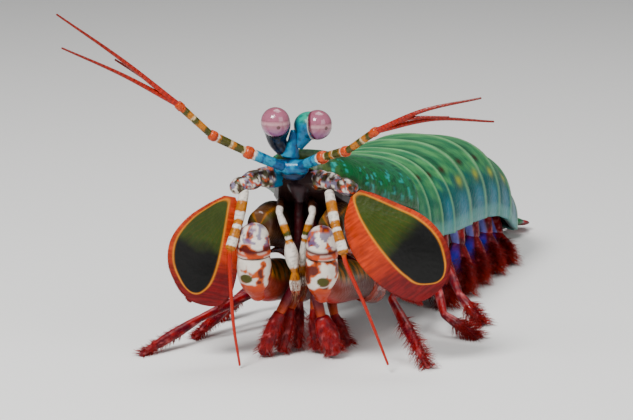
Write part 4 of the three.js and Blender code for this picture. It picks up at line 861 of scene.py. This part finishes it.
for side, claw in CLAWS.items():
    axis_x = claw["carpus"][1][0]
    girth = claw["girth"]
    merus_aim = unit(claw["merus"][1] - claw["merus"][0])
    seat = mix(claw["carpus"][0], claw["merus"][0], 0.5)
    wrist_aim = unit(claw["front"][1] - claw["carpus"][1])
    wrist = mix(claw["carpus"][1], claw["front"][1], WRIST_SHARE)
    heel_aim = unit(claw["club"][1] - claw["propodus"][3])
    heel = mix(claw["propodus"][3], claw["club"][0], 0.5)

    def merus_paint(t, n, p):
        colour = mix(BROWN, ARM_BROWN, smooth(0.5 + blotch(p, 0.3, 80)))
        colour = mix(colour, OLIVE, 0.8 * peak(n[2], 0.62, 0.14))
        return mix(colour, GOLD, 0.75 * peak(n[2], 0.80, 0.05))

    def carpus_paint(t, n, p):
        dx = p[0] - axis_x
        smile = p[2] - (CREASE + 0.05 * dx * dx)
        colour = mottled(p, 100, 0.12)
        colour = mix(colour, GREY_VIOLET, 0.8 * speck(p, 0.7, 105, 0.18) * smooth((p[2] - 25.0) / 0.8))
        colour = mix(colour, MAROON, peak(smile, 0.0, 0.42))
        return mix(colour, ORANGE, 0.95 * peak(smile, -0.95, 0.48))

    def front_paint(t, n, p):
        dx = p[0] - axis_x
        spot_x, spot_z = claw["olive_at"]
        colour = mottled(p, 110, 0.16 - 0.30 * smooth((abs(dx) - 1.9) / 1.2))
        low = p[2] - (16.9 + 0.7 * blotch(p, 0.5, 113))
        lower_end = mix(ORANGE, CLAW_TIP, smooth(-low / 2))
        colour = mix(colour, lower_end, 1 - smooth(low / 0.8 + 0.5))
        spot = ((dx - spot_x) / 1.25) ** 2 + ((p[2] - spot_z) / 0.95) ** 2
        colour = mix(colour, OLIVE, (1 - smooth((spot - 0.8) / 0.5)) * (n[1] < 0.3))
        return mix(colour, WHITE, 0.8 * peak(spot, 1.8, 0.35) * (n[1] < 0.3) * (p[2] < spot_z))

    def palm_paint(t, n, p):
        stripe = math.sin(1.5 * (p[1] + 1.4 * p[0]) + 1.2 * blotch(p, 0.4, 121))
        colour = mix(GOLD, OLIVE, smooth(0.5 + 1.5 * stripe))
        colour = mix(colour, mix(ORANGE, MAROON, 0.75), smooth((0.25 - n[2]) / 0.35))
        colour = mix(colour, PALM_BROWN, 0.8 * smooth((t - 0.35) / 0.3) * smooth((0.5 - n[2]) / 0.5))
        return mix(colour, PALM_RIM, 0.85 * smooth((-n[2] - 0.70) / 0.20))

    def club_paint(t, n, p):
        return mix(mix(MAROON, FLAME, 0.25), CLUB_RED, smooth(0.5 + blotch(p, 0.35, 130)))

    skin = Skin()
    skin.limb(claw["merus"], MERUS_RADII, 36, X, merus_paint, 48)
    trimmed(skin, [(seat, -merus_aim)])
    add_piece("claw_upper_" + side, skin, "dark_shell", ["claw_merus_" + side])

    skin = Skin()
    carpus_radii = [(a * girth, b * girth) for a, b in CARPUS_SHARES]
    skin.limb(claw["carpus"], carpus_radii, 40, X, carpus_paint, 72, CLAW_DOME)
    trimmed(skin, [(seat, merus_aim), (wrist, wrist_aim)])
    add_piece("claw_wrist_" + side, skin, "spotted_white", ["claw_carpus_" + side])

    skin = Skin()
    front_radii = [(a * girth, b * girth) for a, b in FRONT_SHARES]
    skin.limb(claw["front"], front_radii, 70, X, front_paint, 72, CLAW_DOME)
    skin.limb(claw["propodus"], PROPODUS_RADII, 60, X, palm_paint, 56, dome=0.5)
    trimmed(skin, [(wrist, -wrist_aim), (heel, heel_aim)])
    add_piece("claw_palm_" + side, skin, "orange_claw", ["claw_propodus_" + side])

    skin = Skin()
    skin.limb(claw["club"], CLUB_RADII, 24, X, club_paint, 40, CLAW_DOME)
    trimmed(skin, [(heel, -heel_aim)])
    skin.limb(claw["blade"], BLADE_RADII, 30, X, club_paint, 20)
    skin.bulge(claw["club"][1], claw["blade"][0], 1.8, 1.4, 1.1, X, club_paint, 20)
    add_piece("claw_club_" + side, skin, "red_club", ["claw_dactyl_" + side])


# Number of setae on each part, and the seeds of their random draws
HAND_SETAE, HAND_SEED = 420, 100
FOOT_SETAE, FOOT_SEED = 520, 200
SWIM_SETAE, SWIM_SEED = (620, 420, 320), 300
TAIL_SETAE, TAIL_SEEDS = 420, {"l": 401, "r": 419}


def fur(coat, a, b, number, length, radius, shade, draw, lane, thick, start=0.1, droop=0.08):
    """Setae all round one length of a limb, leaning toward its tip."""
    run = unit(b - a)
    side = unit(np.cross(run, V(0.3, 1, 0.2)))
    other = np.cross(run, side)
    for k in range(number):
        t = start + (1 - start) * (k + draw.random()) / number
        w = 2 * math.pi * draw.random()
        out = side * math.cos(w) + other * math.sin(w)
        tint = V(*shade) * (0.45 + 1.0 * draw.random())
        coat.hair(mix(a, b, t) + out * thick * 0.6, out + run * (0.5 + 0.6 * draw.random()),
                  length * (0.6 + 0.6 * draw.random()), radius, tint, droop, (lane, 0.05 + 0.9 * t))


def red_paint(t, n, p):
    colour = mix(CRIMSON, RED, smooth(0.5 + 0.9 * blotch(p, 0.6, 140)))
    return mix(colour, FLECK, 0.6 * speck(p, 0.9, 144, 0.45))


def arm_paint(t, n, p):
    return mix(PLUM, MAROON, 0.5 + 0.5 * blotch(p, 0.5, 150))


def wrist_paint(t, n, p):
    return mix(CRIMSON, ORANGE, peak(t, 1, 0.25))


# Third to fifth maxillipeds, each with a small bristly hand
HANDS = {
    "maxilliped_3_r": (1.6, [V(0.4, 8, 33), V(0.2, 4.2, 16.5), V(-3.8, 3.6, 9.2), V(-7.2, 3.0, 1.0)]),
    "maxilliped_4_r": (1.5, [V(2.2, 12, 32), V(1.8, 8.6, 17), V(-1.6, 6.6, 9.4), V(-3.4, 5.2, 1.0)]),
    "maxilliped_5_r": (1.2, [V(4.0, 18, 31), V(3.0, 14, 18), V(0.3, 10, 10.4), V(0.1, 8.2, 1.0)]),
    "maxilliped_3_l": (2.3, [V(3.4, 7.6, 33), V(3.0, 3.6, 16.5), V(5.2, 3.4, 8.0), V(7.8, 2.2, 1.4)]),
    "maxilliped_4_l": (1.2, [V(5.2, 11, 32), V(4.2, 8.2, 18), V(3.5, 7.4, 9.4), V(3.8, 6.4, 1.0)]),
    "maxilliped_5_l": (1.3, [V(7.0, 17, 31), V(5.8, 14.2, 16), V(7.8, 12, 6.8), V(10.6, 10, 1.0)]),
}
coat = Skin()
for lane, (name, (wide, (shoulder, elbow, wrist_at, tip))) in enumerate(HANDS.items()):
    skin = Skin()
    skin.bulge(shoulder, elbow, 1.0, 1.0, 0.8, X, arm_paint)
    skin.bulge(elbow, wrist_at, 0.8, 1.1, 0.9, X, wrist_paint, 20)
    skin.bulge(wrist_at, tip, wide * 0.75, (wide, wide * 0.8), wide * 0.6, X, red_paint, 28, 20)
    lift(skin.points)
    add_piece("hand_" + name, skin, "red_limb", [name])
    seeds = random.Random(HAND_SEED + lane)
    fur(coat, wrist_at, tip, HAND_SETAE, 2.0, 0.06, RED, seeds, (lane + 0.5) / 6, wide)
add_piece("hand_setae", coat, "red_limb", finish="setae")

# Walking legs with bristly feet
LEGS = {
    "leg_1_l": (2, 0.55, [V(25, 25, 13), V(19.8, 9.5, 11), V(27, -6.6, 0.45)]),
    "leg_1_r": (2, -0.42, [V(-4, 30, 10.5), V(-21, 15, 5.4), V(-32.8, 3.6, 0.45)]),
    "leg_2_l": (3, 0.55, [V(29.5, 34, 12), V(31.5, 22, 4.6), V(38.6, 18, 0.45)]),
    "leg_2_r": (3, -0.42, [V(-3, 38, 10.2), V(-14.6, 26, 6.0), V(-22.4, 17.8, 0.45)]),
    "leg_3_l": (4, 0.55, [V(32.5, 43, 12), V(35.5, 35, 6), V(40.4, 30, 0.45)]),
    "leg_3_r": (4, -0.42, [V(0, 46, 10.2), V(-11, 40, 6.4), V(-17.6, 34, 0.45)]),
}
LEG_RADII = [(0.8, 1.3, 0.75), (0.8, 1.05, 0.75), (0.8, 1.15, 0.5)]
LEG_ROOT_HEIGHT = 0.30
coat = Skin()
for lane, (name, (row, across, run)) in enumerate(LEGS.items()):
    joints = [put(between(row, 0.5), across, LEG_ROOT_HEIGHT), *run]
    skin = Skin()
    for k, radii in enumerate(LEG_RADII):
        skin.bulge(joints[k], joints[k + 1], *radii, X, red_paint, 20, 20)
    lift(skin.points)
    add_piece("walking_" + name, skin, "red_limb", [name])
    reach = 3.0 if name.endswith("l") else 1.7
    seeds = random.Random(FOOT_SEED + lane)
    fur(coat, joints[2], joints[3], FOOT_SETAE, reach, 0.07, RED, seeds, (lane + 0.5) / 6, 0.9, 0.3)
add_piece("leg_setae", coat, "red_limb", finish="setae")

# Swimming legs: base with a lavender stripe, two leaves, violet crescents and red plumes
SWIM_ACROSS = 0.58
SWIM_ROOT_HEIGHT = 0.32
TO_VIEWER = unit(V(-0.35, -0.92, 0.1))


def stripe_paint(t, n, p):
    return mix(red_paint(t, n, p), LAVENDER, 0.95 * smooth((float(np.dot(n, TO_VIEWER)) - 0.80) / 0.08))


def crescent_paint(t, n, p):
    facing = float(np.dot(n, TO_VIEWER))
    return mix(red_paint(t, n, p), VIOLET, 0.95 * smooth((facing - 0.55) / 0.15) * peak(t, 0.38, 0.24))


for side, letter in ((1, "l"), (-1, "r")):
    coat = Skin()
    for number in range(5):
        station = between(FIRST_ABDOMEN + number, 0.5)
        head = -unit(station[1] * V(1, 1, 0))
        wide = station[2] * side
        base = put(station, side * SWIM_ACROSS, SWIM_ROOT_HEIGHT)

        def place(out, forward, height):
            return V(base[0], base[1], height) + wide * out + head * forward

        knee = place(3.0, 3.5, max(base[2], 2) * 0.5)
        outer, inner = place(6.4, 10.0, 2.4), place(0.4, 8.5, 2.6)
        flat = unit(head - wide * 0.55)
        skin = Skin()
        skin.bulge(base, knee, (2.2, 1.6), (2.4, 1.7), (1.8, 1.4), flat, stripe_paint, 32, 20)
        skin.bulge(knee, outer, (1.6, 0.9), (3.2, 0.9), (1.4, 0.7), flat, crescent_paint, 40, 24)
        skin.bulge(knee, inner, (1.4, 0.8), (2.6, 0.8), (1.2, 0.6), wide, red_paint, 28, 20)
        name = "swimming_leg_%d_%s" % (number + 1, letter)
        add_piece("leaf_" + name, skin, "red_limb", [name])
        seeds = random.Random(SWIM_SEED + number + (50 if side > 0 else 0))
        fur(coat, knee, outer, SWIM_SETAE[0], 3.4, 0.07, RED, seeds, (number + 0.25) / 5, 1.6, 0.35)
        fur(coat, knee, inner, SWIM_SETAE[1], 3.0, 0.07, CRIMSON, seeds, (number + 0.75) / 5, 1.3, 0.25)
        plume = mix(knee, outer, 0.7)
        fur(coat, plume, outer - Z * 1.2, SWIM_SETAE[2], 4.2, 0.06, FLAME, seeds,
            (number + 0.45) / 5, 1.2, 0.1, 0.2)
    add_piece("swimming_setae_" + letter, coat, "red_limb", finish="setae")


# Labrum: the dark lobe over the mouth
def labrum_paint(t, n, p):
    return mix(SOOT, PLUM, smooth(0.5 + blotch(p, 0.7, 160)))


skin = Skin()
skin.limb([V(0.4, 5.5, 38.6), V(0.5, 3.4, 36.6), V(0.6, 2.6, 33.4)],
          [(3.0, 2.2), (2.6, 1.9), (0.9, 0.8)], 24, X, labrum_paint, 40)
add_piece("mouth_lobe", skin, "dark_shell", ["labrum"])

# Telson: a broad keeled plate with six marginal teeth, its tip on the floor
TELSON_LENGTH = 19
TELSON_STEPS = 40
TELSON_SIDES = 80
TELSON_PROFILE = [(10.6, 3.4), (11.8, 3.6), (12.4, 3.2), (10.2, 2.4), (6.6, 1.6), (4.2, 1.1)]
TELSON_PLACES = (0, 0.15, 0.45, 0.75, 0.92, 1)
TELSON_TEETH = [(0.62, 11.2, 3.0), (0.8, 9.0, 3.4), (0.95, 4.6, 3.6)]
KEELS = (-0.66, -0.33, 0.0, 0.33, 0.66)
tail_station = between(len(ROWS) - 1, 1)
tail_back, tail_right = frame_at(4, 27)
tail_up = unit(np.cross(tail_right, tail_back))
telson_top = put(tail_station, 0, 0.88, 0.4)


def telson_paint(t, across, p):
    colour = mix(TEAL, SEA_GREEN, smooth(0.5 + blotch(p, 0.4, 170)))
    colour = mix(colour, DARK_GREEN, 0.7 * max(peak(across, keel, 0.05) for keel in KEELS))
    colour = mix(colour, BROWN, 0.9 * peak(t, 0.3, 0.08) * peak(abs(across), 0.5, 0.10))
    return mix(colour, CRIMSON, 0.8 * smooth((t - 0.85) / 0.15))


skin = Skin()
rings = []
for k in range(TELSON_STEPS + 1):
    t = k / TELSON_STEPS
    half_width, thick = (float(np.interp(t, TELSON_PLACES, column)) for column in zip(*TELSON_PROFILE))
    ring = []
    for i in range(TELSON_SIDES):
        w = 2 * math.pi * i / TELSON_SIDES
        c, s = math.cos(w), math.sin(w)
        ridge = 1 + 0.22 * max(peak(c, keel, 0.05) for keel in KEELS) * (s > 0)
        point = (telson_top + tail_back * t * TELSON_LENGTH + tail_right * c * half_width
                 + tail_up * (s * thick / 2 * ridge - thick / 2))
        paint = telson_paint(t, c, point)
        lift([point])
        ring.append((point, paint))
    rings.append(ring)
skin.rings(rings)
for side in (-1, 1):
    for t, x, reach in TELSON_TEETH:
        start = telson_top + tail_right * side * (x - 1.2) + tail_back * t * TELSON_LENGTH - tail_up
        tooth = unit(tail_back + tail_right * side * 0.25)
        skin.tube([start, start + tooth * reach * 0.6, start + tooth * reach * 0.92],
                  [(0.9, 0.9), (0.5, 0.5), (0.12, 0.12)], tail_up, red_paint, 14)
lift(skin.points)
add_piece("tail_plate", skin, "green_shell", ["telson"])

# Tail fans: a base joint, an outer two-part paddle and an inner leaf, fringed with setae
fan_back = unit(tail_back * V(1, 1, 0))


def fan_paint(t, n, p):
    colour = mix(TEAL, EMERALD, smooth(0.5 + blotch(p, 0.5, 180)))
    return mix(colour, CRIMSON, 0.85 * smooth((t - 0.55) / 0.3))


coat = Skin()
for side, letter in ((1, "l"), (-1, "r")):
    wide = tail_right * side
    fan_root = put(tail_station, side * 0.78, 0.5, -1.5)

    def fan_place(out, behind, height):
        return V(fan_root[0], fan_root[1], height) + wide * out + fan_back * behind

    elbow = fan_place(1.6, 4.5, 4.6)
    paddle = (fan_place(4.0, 12, 2.8), fan_place(4.6, 18, 1.2))
    leaf = fan_place(0.2, 13.5, 1.1)
    skin = Skin()
    skin.bulge(fan_root, elbow, (1.8, 1.6), (2.2, 1.7), (1.8, 1.4), wide, fan_paint, 28, 18)
    skin.bulge(elbow, fan_place(3.8, 11, 3.0), (2.0, 1.0), (2.8, 1.1), (2.2, 0.8), wide, fan_paint, 28, 18)
    skin.bulge(*paddle, (1.9, 0.7), (3.0, 0.8), (1.8, 0.6), wide, red_paint, 28, 18)
    skin.bulge(elbow, leaf, (1.2, 0.8), (1.9, 0.8), (1.2, 0.6), wide, fan_paint, 28, 18)
    lift(skin.points)
    add_piece("tail_paddle_" + letter, skin, "green_shell", ["tail_fan_" + letter])
    draw = random.Random(TAIL_SEEDS[letter])
    for number, (a, b, thick) in enumerate(((*paddle, 2.6), (elbow, leaf, 1.5))):
        for k in range(TAIL_SETAE):
            t = 0.25 + 0.75 * draw.random()
            edge = wide * draw.choice((-1, 1))
            start = mix(a, b, t) + edge * thick * math.sin(math.pi * min(t, 0.9)) * 0.8
            aim = edge * (1.1 - t) + fan_back * (0.3 + t) - Z * 0.1 * draw.random()
            tint = V(*RED) * (0.45 + draw.random())
            coat.hair(start, aim, 0.9 + 0.6 * draw.random(), 0.06, tint, 0.05,
                      (0.2 + 0.4 * number + (0.1 if side > 0 else 0), 0.05 + 0.9 * t))
add_piece("tail_setae", coat, "green_shell", finish="setae")


# The trunk's underside keeps its solid's form and takes a painted material of its own
material, shader, node, join = new_material("underside")
cloud = node("TexNoise", Scale=300, Detail=6.0)
ramp = node("ValToRGB")
for stop, position, colour in zip(ramp.color_ramp.elements, (0.4, 0.62), (UMBER, PLUM)):
    stop.position = position
    stop.color = (*colour, 1)
bump = node("Bump", Strength=0.4, Distance=BUMP_DEPTH)
join(node("TexCoord"), "Object", cloud, "Vector")
join(cloud, "Fac", ramp, "Fac")
join(ramp, "Color", shader, "Base Color")
join(cloud, "Fac", bump, "Height")
join(bump, "Normal", shader, "Normal")
shader.inputs["Roughness"].default_value = 0.4
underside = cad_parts["head_underside"]
underside.data.materials.clear()
underside.data.materials.append(material)

# Floor, light and camera
FLOOR_SIZE = 4.0
FLOOR_COLOUR = (0.84, 0.83, 0.81, 1)
SKY_COLOUR = (0.80, 0.82, 0.85, 1)
SKY_STRENGTH = 0.22
LAMP_TARGET = Vector((0, 0, 0.03))
bpy.ops.mesh.primitive_plane_add(size=FLOOR_SIZE, location=(0, 0, 0))
floor = bpy.context.object
floor.name = "floor"
material, shader, _, _ = new_material("floor pale")
shader.inputs["Base Color"].default_value = FLOOR_COLOUR
shader.inputs["Roughness"].default_value = 0.8
floor.data.materials.append(material)

world = bpy.data.worlds.new("studio")
bpy.context.scene.world = world
world.use_nodes = True
backdrop = world.node_tree.nodes["Background"]
backdrop.inputs["Color"].default_value = SKY_COLOUR
backdrop.inputs["Strength"].default_value = SKY_STRENGTH


def look_at(thing, target):
    direction = target - thing.location
    thing.rotation_euler = direction.to_track_quat("-Z", "Y").to_euler()


# Name, place, watts and size of each lamp
LAMPS = [
    ("key", (-0.22, -0.40, 0.50), 5.6, 0.18),
    ("fill", (0.40, -0.40, 0.30), 1.2, 0.35),
    ("top", (0.10, 0.15, 0.70), 2.6, 0.40),
]
for name, at, watts, size in LAMPS:
    lamp = bpy.data.lights.new(name, "AREA")
    lamp.energy = watts
    lamp.size = size
    light = bpy.data.objects.new(name, lamp)
    light.location = at
    bpy.context.scene.collection.objects.link(light)
    look_at(light, LAMP_TARGET)

# The camera stands where the photo's did, as far as the animal's proportions tell
IMAGE = (633, 420)
HEAD_PIXEL = (297, 165)
MM_PER_PIXEL = 0.205
DISTANCE = 550.0
ELEVATION = math.radians(11.5)
SENSOR = 36.0
HEAD = V(0, 0, 41.5)
camera_up = V(0, math.sin(ELEVATION), math.cos(ELEVATION))
camera_ahead = V(0, math.cos(ELEVATION), -math.sin(ELEVATION))
target = (HEAD + X * (IMAGE[0] / 2 - HEAD_PIXEL[0]) * MM_PER_PIXEL
          - camera_up * (IMAGE[1] / 2 - HEAD_PIXEL[1]) * MM_PER_PIXEL)
lens = bpy.data.cameras.new("camera")
lens.sensor_width = SENSOR
lens.lens = SENSOR * DISTANCE / (IMAGE[0] * MM_PER_PIXEL)
lens.clip_start = 0.01
camera = bpy.data.objects.new("camera", lens)
bpy.context.scene.collection.objects.link(camera)
camera.location = Vector(((target - camera_ahead * DISTANCE + SHIFT) * MM).tolist())
look_at(camera, Vector(((target + SHIFT) * MM).tolist()))
bpy.context.scene.camera = camera
